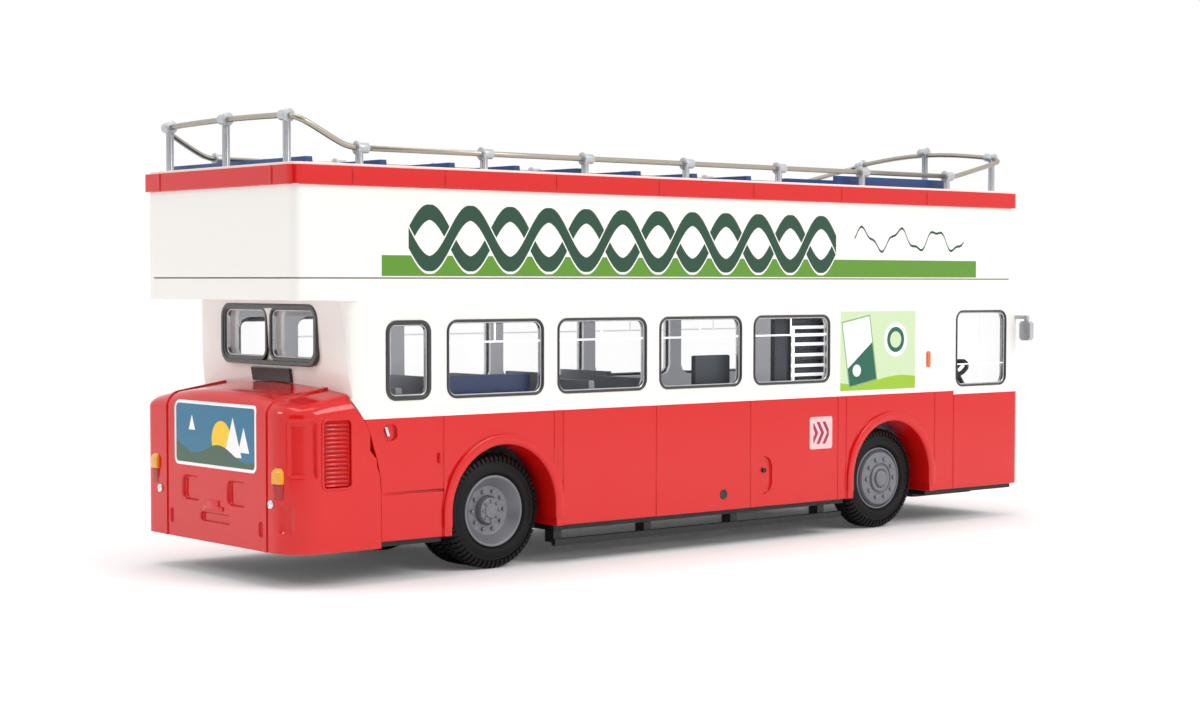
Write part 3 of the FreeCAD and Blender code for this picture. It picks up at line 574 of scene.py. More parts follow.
# Plain moulded finish. A glow above 0 makes it shine as painted light.
def moulding(name, colour, roughness, metallic=0.0, coat=0.0, shine=0.5, glow=0.0):
    material, shader, place = newMaterial(name)
    grain = addGrain(shader, place, 1500.0, 0.08, roughness)
    plug(shader, "Base Color", mixColour(place, grain * 0.16, srgb(*colour), black))
    for socket, setting in (("Metallic", metallic), ("Coat Weight", coat), ("Specular IOR Level", shine),
                            ("Emission Color", white), ("Emission Strength", glow)):
        shader.inputs[socket].default_value = setting
    return material


saloonTones = {
    "grey": srgb(150, 154, 160),
    "navy": srgb(30, 50, 92),
    "shade": srgb(40, 47, 58),
    "bench": ((-6.4, 6.4), -7.4, 14.9),
    "stairs": ((40.5, 58.0), 12.0),
}


# Saloon moulding: grey, with a navy bench over the rear wheel and dark stairs.
def saloonFinish():
    material, shader, place = newMaterial("saloon_moulding")
    x, y, z = axes(place)
    along, across, low = saloonTones["bench"]
    bench = x.between(*along) * (y < across) * (z > low)
    along, low = saloonTones["stairs"]
    colour = mixColour(place, bench, saloonTones["grey"], saloonTones["navy"])
    colour = mixColour(place, x.between(*along) * (z > low), colour, saloonTones["shade"])
    grain = addGrain(shader, place, 1200.0, 0.1, 0.36)
    plug(shader, "Base Color", mixColour(place, grain * 0.14, colour, black))
    return material


# Thin clear moulding: mostly see-through, with a gloss that grows at grazing angles.
def glass(name):
    material, shader, place = newMaterial(name)
    addGrain(shader, place, 300.0, 0.04, 0.02, depth=0.0)
    shader.inputs["Base Color"].default_value = white
    shader.inputs["Metallic"].default_value = 1.0
    clear = place.node("ShaderNodeBsdfTransparent", inputs={"Color": white})
    edgeOn = place.node("ShaderNodeLayerWeight", inputs={"Blend": 0.5}, output=1)
    mix = place.node("ShaderNodeMixShader", inputs={0: edgeOn ** 4.0 * 0.3 + 0.008, 1: clear})
    mix.tree.links.new(shader.outputs[0], mix.socket.node.inputs[2])
    mix.tree.links.new(mix.socket, mix.tree.nodes["Material Output"].inputs["Surface"])
    return material


finish = {
    "lower": glossPaint("lower_paint", lowerColour),
    "upper": glossPaint("upper_paint", upperColour),
    "red": glossPaint("cover_red", coverColour),
    "gasket": moulding("gasket_rubber", (34, 32, 31), 0.25, coat=0.6),
    "trim": moulding("silver_trim", (206, 208, 210), 0.2, metallic=0.8),
    # The printed bars glow a little: painted light that keeps them bright in the saloon's shade.
    "bars": moulding("printed_bars", (236, 237, 240), 0.35, coat=0.3, glow=0.55),
    "plate": moulding("blank_plate", (24, 22, 22), 0.35, coat=0.3),
    "base": moulding("base_black", (26, 26, 28), 0.45),
    "seat": moulding("seat_blue", (44, 84, 146), 0.3),
    "saloon": saloonFinish(),
    "darkSeat": moulding("dark_seat", (52, 58, 66), 0.5),
    "glass": glass("clear_plastic"),
    "wire": moulding("rail_wire", (176, 168, 156), 0.28, metallic=0.9),
    "silver": moulding("post_silver", (196, 198, 202), 0.35, metallic=0.55),
    "wheel": moulding("wheel_grey", (126, 129, 135), 0.35, metallic=0.3),
    "rubber": moulding("tyre_rubber", (17, 17, 18), 0.5, shine=0.22),
    "chrome": moulding("chrome", (225, 228, 232), 0.12, metallic=1.0),
    "amber": moulding("amber_lens", (246, 168, 20), 0.2, coat=0.6),
    "orange": moulding("orange_lens", (238, 110, 20), 0.2, coat=0.6),
}
finishOf = {
    "lower_body": "lower", "upper_body": "upper", "engine_cover": "red", "chassis": "base",
    "upper_seats": "seat", "lower_seats": "saloon", "staircase": "saloon", "cab": "saloon",
    "steering_wheel": "base", "headlamps": "chrome", "reflectors": "chrome", "rear_lamps": "amber",
    "side_lamps": "orange", "entrance_doors": "silver", "rear_glass": "glass", "windscreen": "glass",
}
finishByWord = {"glazing_": "glass", "rail_": "wire", "posts_": "silver", "guard_": "base",
                "mirror_": "silver", "_tyre_": "rubber", "_hub_": "wheel", "_axle": "wire"}
for word, kind in finishByWord.items():
    finishOf.update({name: kind for name in nodes if word in name})
for name, kind in finishOf.items():
    nodes[name].data.materials.clear()
    nodes[name].data.materials.append(finish[kind])
print("materials assigned to", len(finishOf), "nodes of", len(nodes))


# Castings: merged copies of the CAD shells whose edges are softened as on a die casting.
castings = {
    "lower_body": {"kind": "lower", "edge": 0.07},
    "upper_body": {"kind": "upper", "edge": 0.08},
}


def addCastings():
    for name, casting in castings.items():
        item = copyPiece(nodes[name], f"{name}_cast", nodes[name].matrix_world)
        startEdit(item)
        mergePoints(0.002)
        bpy.ops.mesh.dissolve_limited(angle_limit=math.radians(1.0))
        endEdit()
        applyBevel(item, casting["edge"], 3, 34, use_clamp_overlap=False)
        shadeEvenly(item, 50)
        dress(item, casting["kind"], "root", [name], smooth=0)


addCastings()
print("castings softened")


# Smooth lips and returns of the wheel arches. The rings give a radius and how far it stands out.
arches = {
    "centres": (1.1, 66.9),
    "height": 7.07,
    "foot": 5.6,
    "wall": 15.9,
    "face": 16.44,
    "inner": 12.3,
    "rings": ((8.7, 0.0), (8.6, 0.05), (8.3, 0.08), (7.85, 0.07), (7.62, 0.0), (7.5, -0.12)),
    "edge": 0.05,
}


def addArches():
    height, wall, face, rings = (arches[name] for name in ("height", "wall", "face", "rings"))
    pattern = addCylinder("arch", at(0.0, -(wall + face) / 2, height), rings[0][0], face - wall, "y", 96)
    startEdit(pattern)
    selectFaces(pattern, facing("+y"))
    bpy.ops.mesh.delete(type="FACE")
    selectFaces(pattern, facing("-y"))
    for step in ringInsets(rings) + [(0.02, arches["inner"] - face)]:
        inset(*step)
    bpy.ops.mesh.delete(type="FACE")
    selectAll()
    bpy.ops.mesh.bisect(plane_co=at(0, 0, height), plane_no=directions["z"], clear_inner=True)
    selectEdges(pattern, lambda place: abs(place.z - height) < 0.01)
    extrude(0.0, 0.0, arches["foot"] - height)
    endEdit()
    applyBevel(pattern, arches["edge"], 2, 30)
    parts = [copyPiece(pattern, "arch", shift(centre, 0.0, 0.0) @ stretchAcross(side))
             for centre in arches["centres"] for side in (1.0, -1.0)]
    bpy.data.objects.remove(pattern)
    dress(joinPieces("arch_lips", parts), "lower", smooth=40)


addArches()
print("arches smoothed")


# Window frames: a dark outer ring and a bright inner lip in each opening.
# A window is given by its left, right, low and high edges.
frames = {
    "bay": (-6.96, 6.89, 20.15, 28.93),
    "pitch": 16.0,
    "bays": {"offside": 4, "nearside": 5},
    "doorWindow": (-15.24, -9.25, 20.15, 28.93),
    "cabWindow": (80.1, 90.8, 18.8, 29.25),
    "side": 16.24,
    "corner": 1.3,
    "grow": 0.06,
    "ring": {"bay": 0.3, "door": 0.5, "cab": 0.26, "rear": 0.42},
    "depth": 0.75,
    "lip": {"width": 0.2, "overlap": 0.1, "depth": 0.5, "sunk": 0.2},
    "bars": {"level": 26.4, "gap": 0.35, "width": 0.22, "thick": 0.12, "sunk": 0.42},
    "cabBars": (((85.53, -15.85, 19.1), (85.77, -15.7, 28.95)),
                ((80.4, -15.85, 21.75), (90.5, -15.7, 21.92))),
}


# A rounded ring standing in the x-z plane, its outer face at y = 0 and its depth towards +y.
def addRing(name, left, right, low, high, corner, ring, depth):
    item = addPlane(name, mm, rotation=(math.pi / 2, 0, 0))
    item.scale = (right - left, high - low, 1.0)
    keepPlaces(item)
    item.data.transform(shift((left + right) / 2, 0.0, (low + high) / 2))
    startEdit(item)
    selectAll()
    roundEdges(corner, 7, "VERTICES")
    inset(ring)
    bpy.ops.mesh.delete(type="FACE")
    selectAll()
    extrude(0.0, depth, 0.0)
    faceOutwards()
    endEdit()
    return item


# Both rings of one window, in the x-z plane.
def addWindow(name, left, right, low, high, ring):
    grow, corner, lip = frames["grow"], frames["corner"], frames["lip"]
    outer = addRing(name + "_gasket", left - grow, right + grow, low - grow, high + grow,
                    corner + grow, ring, frames["depth"])
    applyBevel(outer, 0.1, 3)
    edge = ring - lip["overlap"]
    inner = addRing(name + "_lip", left + edge, right - edge, low + edge, high - edge,
                    corner - edge, lip["width"], lip["depth"])
    inner.data.transform(shift(0.0, lip["sunk"], 0.0))
    applyBevel(inner, 0.09, 3)
    return outer, inner


# A slim bar with softened edges.
def addBar(name, low, high):
    item = addBox(name, low, high)
    startEdit(item)
    selectAll()
    roundEdges(0.03, 2)
    endEdit()
    return item


# Horizontal bar and short divider over it, as printed on the upper part of a window.
def addBars(left, right, low, high):
    bars = frames["bars"]
    level, half, thick = bars["level"], bars["width"] / 2, bars["thick"] / 2
    left, right, high = left + bars["gap"], right - bars["gap"], high - bars["gap"]
    middle = (left + right) / 2
    item = joinPieces("bay_bars", [
        addBar("bar", (left, -thick, level - half), (right, thick, level + half)),
        addBar("divider", (middle - half, -thick, level), (middle + half, thick, high))])
    item.data.transform(shift(-datumX / mm, bars["sunk"], 0.0))
    return item


def addSideWindows():
    bay, door, cab = (addWindow(name, *frames[place], frames["ring"][name]) for name, place in (
        ("bay", "bay"), ("door", "doorWindow"), ("cab", "cabWindow")))
    bars = addBars(*frames["bay"])
    places = {"offside": shift(datumX / mm, -frames["side"], 0.0),
              "nearside": shift(datumX / mm, frames["side"], 0.0) @ stretchAcross(-1.0)}
    for side, turn in places.items():
        moves = [turn @ shift(k * frames["pitch"], 0.0, 0.0) for k in range(frames["bays"][side])]
        windows = [(bay, move) for move in moves] + [(door, turn)]
        if side == "offside":
            windows.append((cab, turn))
        gaskets = [copyPiece(outer, "part", move) for (outer, lip), move in windows]
        lips = [copyPiece(lip, "part", move) for (outer, lip), move in windows]
        dress(joinPieces(f"gaskets_{side}", gaskets), "gasket")
        dress(joinPieces(f"window_lips_{side}", lips), "trim")
        # The bars take the glowing finish: painted light.
        printed = [copyPiece(bars, "part", move) for move in moves]
        dress(joinPieces(f"window_bars_{side}", printed), "bars")
    # The cab window's bars glow the same way: painted light.
    cabBars = [addBar("cab_bar", low, high) for low, high in frames["cabBars"]]
    dress(joinPieces("cab_window_bars", cabBars), "bars")
    for item in (*bay, *door, *cab, bars):
        bpy.data.objects.remove(item)


# The rear window's two lights share one surround; each has its own lip.
rearWindow = {
    "face": -20.55,
    "surround": {"left": -10.3, "right": 10.3, "low": 23.75, "high": 30.75, "corner": 1.7, "ring": 0.55,
                 "depth": 0.6},
    "lights": ((-9.8, -0.3, 24.3, 30.4), (0.3, 9.8, 24.3, 30.4)),
    "sunk": 0.1,
}


def addRearWindow():
    turn = shift(datumX / mm + rearWindow["face"], 0.0, 0.0) @ Matrix.Rotation(-math.pi / 2, 4, "Z")
    surround = addRing("rear_surround", **rearWindow["surround"])
    applyBevel(surround, 0.12, 3)
    surround.data.transform(turn)
    dress(surround, "gasket")
    lights = [addWindow("rear_light", *light, frames["ring"]["rear"]) for light in rearWindow["lights"]]
    rings, lips = zip(*lights)
    for item in rings + lips:
        item.data.transform(turn @ shift(0.0, rearWindow["sunk"], 0.0))
    dress(joinPieces("rear_light_gaskets", rings), "gasket")
    dress(joinPieces("rear_light_lips", lips), "trim")


# Silver ladder of the stairs and a seat back, seen through the offside windows.
saloon = {
    "ladder": (50.1, 56.1, 20.2, 27.5),
    "rungs": (27.1, 26.1, 24.9, 23.5, 22.1, 20.9),
    "across": (-14.0, -13.75),
    "thick": 0.42,
    "seatBack": ((32.9, -13.9, 20.0), (39.0, -13.2, 24.0)),
}


def addSaloonDetails():
    left, right, low, high = saloon["ladder"]
    thick, (outer, inner) = saloon["thick"], saloon["across"]
    bars = [(x, low, x + thick, high) for x in (left, right)]
    bars += [(left, z, right, z + thick) for z in saloon["rungs"]]
    parts = []
    for x0, z0, x1, z1 in bars:
        bar = addBox("bar", (x0, outer, z0), (x1, inner, z1))
        parts.append(pressFaces(bar, facing("-y"), [(0.05, 0.04)], 0.06, 2))
    # The ladder takes the glowing bar finish: painted light.
    dress(joinPieces("stair_ladder", parts), "bars")
    back = pressFaces(addBox("seat_back", *saloon["seatBack"]), facing("y"), [(0.2, 0.08)], 0.2, 3)
    dress(back, "darkSeat")


addSideWindows()
addRearWindow()
addSaloonDetails()
print("windows framed")


# Engine cover: a crowned box with soft shoulders, pressed recesses and a bank of louvres.
# Crest and foot are heights at the middle and how far they fall at the sides. A recess of the
# lid is given by its corners y, z and y, z, its rounding, its depth and the width of its lip,
# a corner panel by its low and high edges and the range of its normals.
engineCover = {
    "low": (-27.45, -16.1, 3.9),
    "high": (-15.95, 16.1, 20.2),
    "crest": (20.95, 1.65),
    "foot": (21.85, 1.05),
    "wall": -19.6,
    "seam": ((-15.95, 10.15), (-16.09, 12.0), (-16.51, 13.76), (-17.38, 16.54), (-17.71, 17.37),
             (-18.16, 18.14), (-19.6, 20.2)),
    "corners": ((-16.1, 4.0, 12), (16.1, 1.7, 6)),
    "shoulder": 1.5,
    "sections": {"across": 28, "along": (2.4, 3.6, 5.4)},
    "rib": {"inner": 10.66, "outer": 11.14, "proud": 0.14},
    "lid": ((3.5, 8.4, 7.2, 11.1, 0.7, 0.45, 0.17), (-6.5, 8.4, -2.7, 11.1, 0.7, 0.45, 0.17),
            (-3.2, 6.2, 3.2, 7.2, 0.45, 0.4, 0.15), (9.35, 5.45, 10.05, 7.05, 0.28, 0.3, 0.1),
            (-10.15, 5.45, -9.35, 7.05, 0.28, 0.3, 0.1)),
    "cornerPanels": ((12.0, 18.3, 0.53, 0.99), (6.0, 9.3, 0.3, 0.68)),
    "panelReach": {"side": -12.1, "behind": -23.45},
    "panelSteps": ((0.2, -0.06), (0.2, -0.22), (0.2, -0.06)),
    "grille": {"box": (-23.4, 10.9, -19.85, 18.25), "depth": 0.4, "rounding": 0.45, "lip": 0.1},
    "rim": {"grow": 0.26, "corner": 0.7, "ring": 0.3, "depth": 0.5, "proud": 0.12},
    "slats": {"first": 11.12, "pitch": 0.47, "count": 15, "high": 0.3, "gap": 0.3, "proud": 0.02,
              "depth": 0.5, "lean": 0.24},
    "boss": {"low": (-27.62, -1.0, 7.5), "high": (-27.2, 1.5, 8.75), "crown": 0.55, "spread": 1.7,
             "brim": 0.5},
    "thick": 0.9,
}


# Cuts a pocket with rounded corners, a soft floor and a mouth that opens outwards.
def cutPocket(item, low, high, way, rounding, lip):
    axis = "xyz".index(way)
    start = Vector(low) + directions[way] * lip
    cutter = addBox("cutter", start, high)
    startEdit(cutter)
    selectAlong(cutter, way)
    roundEdges(rounding, 6)
    selectFaces(cutter, facing("+" + way))
    bpy.ops.mesh.region_to_loop()
    roundEdges(min(high[axis] - start[axis], rounding) * 0.75, 4)
    bpy.ops.mesh.select_mode(type="FACE")
    selectFaces(cutter, facing("-" + way))
    extrude(*(directions[way] * -2 * lip))
    sizes = [1.0 if k == axis else 1.0 + 4 * lip / (high[k] - low[k]) for k in range(3)]
    bpy.ops.transform.resize(value=sizes, center_override=at(*(Vector(low) + Vector(high)) / 2))
    faceOutwards()
    endEdit()
    cutAway(item, cutter)


# Cuts away what lies ahead of the curved seam, one chord after another.
def cutSeam(item):
    seam, half = engineCover["seam"], engineCover["high"][1] + 1
    for (x, z), (nextX, nextZ) in zip(seam, seam[1:]):
        cutter = addBox("cutter", (nextX, -half, z), (seam[0][0] + 1, half, seam[-1][1] + 2.8))
        startEdit(cutter)
        selectAll()
        bpy.ops.mesh.bisect(plane_co=at(x, 0, z), plane_no=(nextZ - z, 0.0, x - nextX), use_fill=True,
                            clear_inner=True)
        endEdit()
        cutAway(item, cutter)


# Sunk panels on the large corner.
def sinkPanels(item):
    side, behind = engineCover["panelReach"]["side"], datumX / mm + engineCover["panelReach"]["behind"]
    for low, high, start, stop in engineCover["cornerPanels"]:
        def onCorner(middle, normal):
            return (start < -normal.y < stop and -normal.x > 0.05 and abs(normal.z) < 0.1
                    and middle.y < side and middle.x < behind)

        scoreFaces(item, onCorner, "z", (low, high))
        selectFaces(item, lambda middle, normal: onCorner(middle, normal) and low < middle.z < high)
        for step in engineCover["panelSteps"]:
            inset(*step)


# Ribs that run up the lid's sides and over the top.
def raiseRibs(item):
    rib = engineCover["rib"]
    scoreFaces(item, lambda middle, normal: normal.x < -0.1 or normal.z > 0.1, "y",
               [sign * rib[name] for sign in (-1, 1) for name in ("inner", "outer")])
    selectFaces(item, lambda middle, normal: rib["inner"] < abs(middle.y) < rib["outer"]
                and abs(normal.y) < 0.5)
    bpy.ops.mesh.extrude_region_shrink_fatten(TRANSFORM_OT_shrink_fatten={"value": rib["proud"] * mm})


# Crowns the top: cuts it into sections, then lifts each point to the height of its section.
def crownTop(item, rear, wall):
    half, top = engineCover["high"][1:]
    shelf = top - engineCover["shoulder"] - 0.1
    (crest, crestFall), (foot, footFall) = engineCover["crest"], engineCover["foot"]
    rib, sections = engineCover["rib"], engineCover["sections"]
    count = sections["across"]
    levels = [half * (2 * k / count - 1) for k in range(1, count)]
    levels = [y for y in levels if abs(abs(y) - (rib["inner"] + rib["outer"]) / 2) > 0.5]
    scoreFaces(item, lambda middle, normal: middle.z > shelf, "y", levels)
    scoreFaces(item, lambda middle, normal: middle.z > shelf, "x", [rear + x for x in sections["along"]])
    mesh = bmesh.from_edit_mesh(item.data)
    for vert in mesh.verts:
        x, y, z = vert.co / mm
        if z > shelf:
            share = (y / half) ** 2
            low, high = crest - crestFall * share, foot - footFall * share
            height = low + (high - low) * (x - rear) / (wall - rear)
            vert.co.z += (height - top) * (z - shelf) / (top - shelf) * mm
    bmesh.update_edit_mesh(item.data)


def modelCover():
    low, high = engineCover["low"], engineCover["high"]
    item = addBox("engine_cover_shell", low, high)
    rear, front, wall = (datumX / mm + x for x in (low[0], high[0], engineCover["wall"]))
    half, top = high[1:]
    # Round the upright corners, then the shoulder round the top.
    startEdit(item)
    for y, radius, steps in engineCover["corners"]:
        selectEdges(item, lambda place: abs(place.x - rear) < 0.01 and abs(place.y - y) < 0.01)
        roundEdges(radius, steps)
    select(item, "edges", lambda edge: min(vert.co.z for vert in edge.verts) > (top - 0.01) * mm
           and min(vert.co.x for vert in edge.verts) < (front - 0.01) * mm)
    roundEdges(engineCover["shoulder"], 8)
    endEdit()
    # Pressed recesses of the lid, and the field of the grille.
    for y0, z0, y1, z1, rounding, depth, lip in engineCover["lid"]:
        cutPocket(item, (low[0], y0, z0), (low[0] + depth, y1, z1), "x", rounding, lip)
    grille = engineCover["grille"]
    x0, z0, x1, z1 = grille["box"]
    cutPocket(item, (x0, -half, z0), (x1, grille["depth"] - half, z1), "y", grille["rounding"], grille["lip"])
    cutSeam(item)
    # Open the foot and the side that meets the body.
    startEdit(item)
    mergePoints(0.003)
    selectFaces(item, lambda middle, normal: middle.z < low[2] + 0.01
                or (middle.x > wall - 0.01 and abs(middle.y) < half - 0.6 and normal.x > 0.2))
    bpy.ops.mesh.delete(type="FACE")
    sinkPanels(item)
    raiseRibs(item)
    crownTop(item, rear, wall)
    endEdit()
    applyModifier(item, "SOLIDIFY", thickness=engineCover["thick"] * mm, offset=-1.0)
    applyBevel(item, 0.06, 3, 75)
    shadeEvenly(item, 60)
    dress(item, "red", "root", ["engine_cover"], smooth=0)


# Raised boss over the oval recess: a narrow crown on a wider brim.
def addBoss():
    boss = engineCover["boss"]
    x, y, z = boss["low"]
    middle = at(x, (y + boss["high"][1]) / 2, z)
    item = addBox("lid_boss", boss["low"], boss["high"])
    startEdit(item)
    selectFaces(item, facing("-z"))
    slide(0.0, 0.0, boss["crown"])
    extrude(0.0, 0.0, 0.0)
    bpy.ops.transform.resize(value=(1.0, boss["spread"], 1.0), center_override=middle)
    extrude(0.0, 0.0, -boss["brim"])
    endEdit()
    applyBevel(item, 0.12, 3)
    dress(item, "red")


# Slats of the grille, each leaning out at its foot.
def addSlats():
    grille, slats, side = engineCover["grille"], engineCover["slats"], engineCover["low"][1]
    x0, z0, x1, z1 = grille["box"]
    pattern = addBox("slat", (x0 + slats["gap"], side - slats["proud"], slats["first"]),
                     (x1 - slats["gap"], side + slats["depth"], slats["first"] + slats["high"]))
    startEdit(pattern)
    selectFaces(pattern, facing("+z"))
    slide(0.0, slats["lean"], 0.0)
    endEdit()
    pressFaces(pattern, facing("x"), [(0.04, 0.06)], 0.06, 3)
    parts = [pattern] + [copyPiece(pattern, "slat", shift(0.0, 0.0, k * slats["pitch"]))
                         for k in range(1, slats["count"])]
    spec = engineCover["rim"]
    grow = spec["grow"]
    rim = addRing("rim", x0 - grow, x1 + grow, z0 - grow, z1 + grow,
                  spec["corner"], spec["ring"], spec["depth"])
    rim.data.transform(shift(datumX / mm, side - spec["proud"], 0.0))
    applyBevel(rim, 0.1, 3)
    dress(joinPieces("grille_slats", parts + [rim]), "red", smooth=50)


# Tail lamps stand at a place across the cover, turned about the centre of its large corner.
tailLamps = {
    "places": ((13.4, 0.0), (-12.1, 16.0)),
    "centre": (-23.45, -12.1, 0.0),
    "face": -27.45,
    "back": -26.55,
    "half": 0.74,
    "heights": (9.7, 11.45, 13.28),
    "lens": {"proud": 0.3, "head": 0.6, "rim": (0.1, 0.04)},
    "pod": {"proud": 0.26, "taper": 0.8},
    "reflectors": ((-12.0, 9.2), (12.3, 9.2)),
    "rings": ((0.5, 0.0), (0.42, 0.06), (0.36, -0.02), (0.2, 0.05)),
}


# A lens with a round head over a pod that fades into the cover.
def addTailLamps():
    face, back, half = tailLamps["face"], tailLamps["back"], tailLamps["half"]
    foot, low, high = tailLamps["heights"]
    lensOf, podOf = tailLamps["lens"], tailLamps["pod"]
    lenses, pods, discs = [], [], []
    centre = at(*tailLamps["centre"])
    for y, angle in tailLamps["places"]:
        lens = addBox("lens", (face - lensOf["proud"], y - half, low), (back, y + half, high))
        startEdit(lens)
        selectEdges(lens, lambda place: place.z > high - 0.01 and abs(abs(place.y - y) - half) < 0.01)
        roundEdges(lensOf["head"], 6)
        selectFaces(lens, facing("-x"))
        inset(*lensOf["rim"])
        endEdit()
        applyBevel(lens, 0.06, 3)
        lenses.append(lens)
        pod = addBox("pod", (face - podOf["proud"], y - half, foot), (back, y + half, low))
        startEdit(pod)
        selectPoints(pod, lambda place: place.z < foot + 0.01)
        bpy.ops.transform.resize(value=(1.0, podOf["taper"], 1.0), center_override=at(face, y, foot))
        selectPoints(pod, lambda place: place.z < foot + 0.01 and place.x < datumX / mm + face)
        slide(podOf["proud"], 0.0, 0.0)
        endEdit()
        pods.append(pressFaces(pod, facing("-x", 0.7), [(0.18, 0.02)], 0.18, 4))
        turn = Matrix.Rotation(math.radians(angle), 4, "Z")
        for item in (lens, pod):
            item.data.transform(Matrix.Translation(centre) @ turn @ Matrix.Translation(-centre))
    for y, z in tailLamps["reflectors"]:
        disc = addCylinder("disc", at(face - 0.02, y, z), tailLamps["rings"][0][0], 0.3, "x")
        discs.append(pressFaces(disc, facing("-x"), ringInsets(tailLamps["rings"]), 0.04, 2))
    dress(joinPieces("tail_lenses", lenses), "amber", "root", ["rear_lamps"])
    dress(joinPieces("lamp_pods", pods), "red")
    dress(joinPieces("reflector_discs", discs), "chrome", "root", ["reflectors"])


modelCover()
addBoss()
addSlats()
addTailLamps()
print("engine cover modelled")


# Tyre: a banded roller with cut lugs, hollowed for the wheel. The rings of its side give a
# radius and how far it lies inside the full width.
tyre = {
    "radius": 6.7,
    "base": 6.46,
    "width": 3.4,
    "spokes": 180,
    "tread": 1.05,
    "rings": ((6.2, 0.3), (5.75, 0.16), (5.65, 0.13), (5.5, 0.16), (5.3, 0.07), (4.8, 0.02), (4.66, 0.0),
              (4.5, 0.06), (4.15, 0.5)),
    "rows": (-0.5, 0.0, 0.5),
    "lugFoot": 5.76,
    "places": {"front_tyre": ("front", 12.9, 3.4), "rear_tyre": ("rear", 12.8, 3.2),
               "rear_inner_tyre": ("rear", 9.1, 3.2)},
}


# Outer blocks take the shoulder too; inner blocks are staggered by half a pitch.
def isLug(middle, normal):
    spoke = int(math.floor(math.degrees(math.atan2(middle.z, middle.x)) / 2.0 + 180.0))
    stagger = int(middle.y > 0) + int(abs(middle.y) <= tyre["rows"][-1])
    return math.hypot(middle.x, middle.z) >= tyre["lugFoot"] and (spoke + stagger) % 3 != 0


def modelTyre():
    half = tyre["width"] / 2
    item = addCylinder("tyre_pattern", (0, 0, 0), tyre["base"], 2 * tyre["tread"], "y", tyre["spokes"])
    rings = [(tyre["base"], tyre["tread"])] + [(radius, half - inside) for radius, inside in tyre["rings"]]
    startEdit(item)
    for side in ("+y", "-y"):
        selectFaces(item, facing(side))
        for step in ringInsets(rings):
            inset(*step)
    scoreFaces(item, lambda middle, normal: True, "y", tyre["rows"])
    selectFaces(item, isLug)
    bpy.ops.mesh.extrude_region_shrink_fatten(
        TRANSFORM_OT_shrink_fatten={"value": (tyre["radius"] - tyre["base"]) * mm})
    selectFaces(item, lambda middle, normal: abs(normal.y) > 0.9 and math.hypot(middle.x, middle.z) < 3.0)
    bpy.ops.mesh.delete(type="FACE")
    endEdit()
    startEdit(item, "EDGE")
    bpy.ops.mesh.select_all(action="DESELECT")
    bpy.ops.mesh.select_non_manifold(use_wire=False, use_multi_face=False, use_non_contiguous=False,
                                     use_verts=False)
    bpy.ops.mesh.bridge_edge_loops()
    faceOutwards()
    endEdit()
    return item


def wheelCentre(end):
    return Matrix.Translation(jointPlace[f"{end}_wheels_roll"])


def addTyres():
    pattern = modelTyre()
    for prefix, (end, across, width) in tyre["places"].items():
        for side, sign in (("left", 1), ("right", -1)):
            move = wheelCentre(end) @ shift(0.0, sign * across, 0.0) @ stretchAcross(width / tyre["width"])
            item = copyPiece(pattern, f"{prefix}_{side}_tread", move)
            dress(item, "rubber", f"{end}_wheels", [f"{prefix}_{side}"], smooth=28)
    bpy.data.objects.remove(pattern)


# Hubs: inner end and face, the radius and height of each ring from the rim inwards, and the
# bolts, each circle by its radius, the bolts' size and height, their level and their count.
hubs = {
    "rear": {
        "ends": (7.6, 14.2),
        "rings": ((4.14, 0.0), (3.9, 0.02), (3.78, -0.12), (3.2, -0.75), (2.95, -1.1), (2.8, -1.24),
                  (1.72, -1.24), (1.62, -1.5), (1.52, -0.62), (1.46, -0.52), (1.3, -0.5), (0.92, -0.5),
                  (0.86, -0.36), (0.5, -0.34)),
        "bolts": ((2.25, 0.21, 0.3, -1.24, 10), (1.13, 0.17, 0.16, -0.5, 8)),
    },
    "front": {
        "ends": (11.1, 14.3),
        "rings": ((4.14, 0.0), (4.02, 0.06), (3.92, 0.0), (3.86, -0.4), (3.7, -0.4), (3.64, 0.1),
                  (3.5, 0.3), (3.3, 0.38), (2.1, 0.42), (2.0, 0.2), (1.84, 0.18), (1.76, 0.5), (1.64, 0.56),
                  (1.32, 0.56), (1.24, 0.4), (1.14, 0.4), (1.08, 0.72), (0.9, 0.8), (0.4, 0.82)),
        "bolts": ((2.62, 0.3, 0.24, 0.4, 10),),
    },
}


def modelHub(end):
    hub = hubs[end]
    inner, face = hub["ends"]
    disc = addCylinder("disc", Vector((0.0, (inner + face) / 2, 0.0)) * mm, hub["rings"][0][0], face - inner,
                       "y", 96)
    parts = [pressFaces(disc, facing("+y"), ringInsets(hub["rings"]), 0.05, 2, 40)]
    sunk = 0.08
    for radius, size, height, level, count in hub["bolts"]:
        middle = Vector((radius, face + level + (height - sunk) / 2, 0.0)) * mm
        bolt = addCylinder("bolt", middle, size, height + sunk, "y", 12)
        applyBevel(bolt, size * 0.35, 3, 40)
        parts.append(bolt)
        parts += [copyPiece(bolt, "bolt", Matrix.Rotation(2 * math.pi * k / count, 4, "Y"))
                  for k in range(1, count)]
    return joinPieces(f"{end}_hub_pattern", parts)


def addHubs():
    for end in hubs:
        pattern = modelHub(end)
        for side, spin in (("left", 0.0), ("right", math.pi)):
            item = copyPiece(pattern, f"{end}_wheel_{side}", wheelCentre(end) @ Matrix.Rotation(spin, 4, "Z"))
            dress(item, "wheel", f"{end}_wheels", [f"{end}_hub_{side}"], smooth=30)
        bpy.data.objects.remove(pattern)


addTyres()
addHubs()
print("wheels modelled")


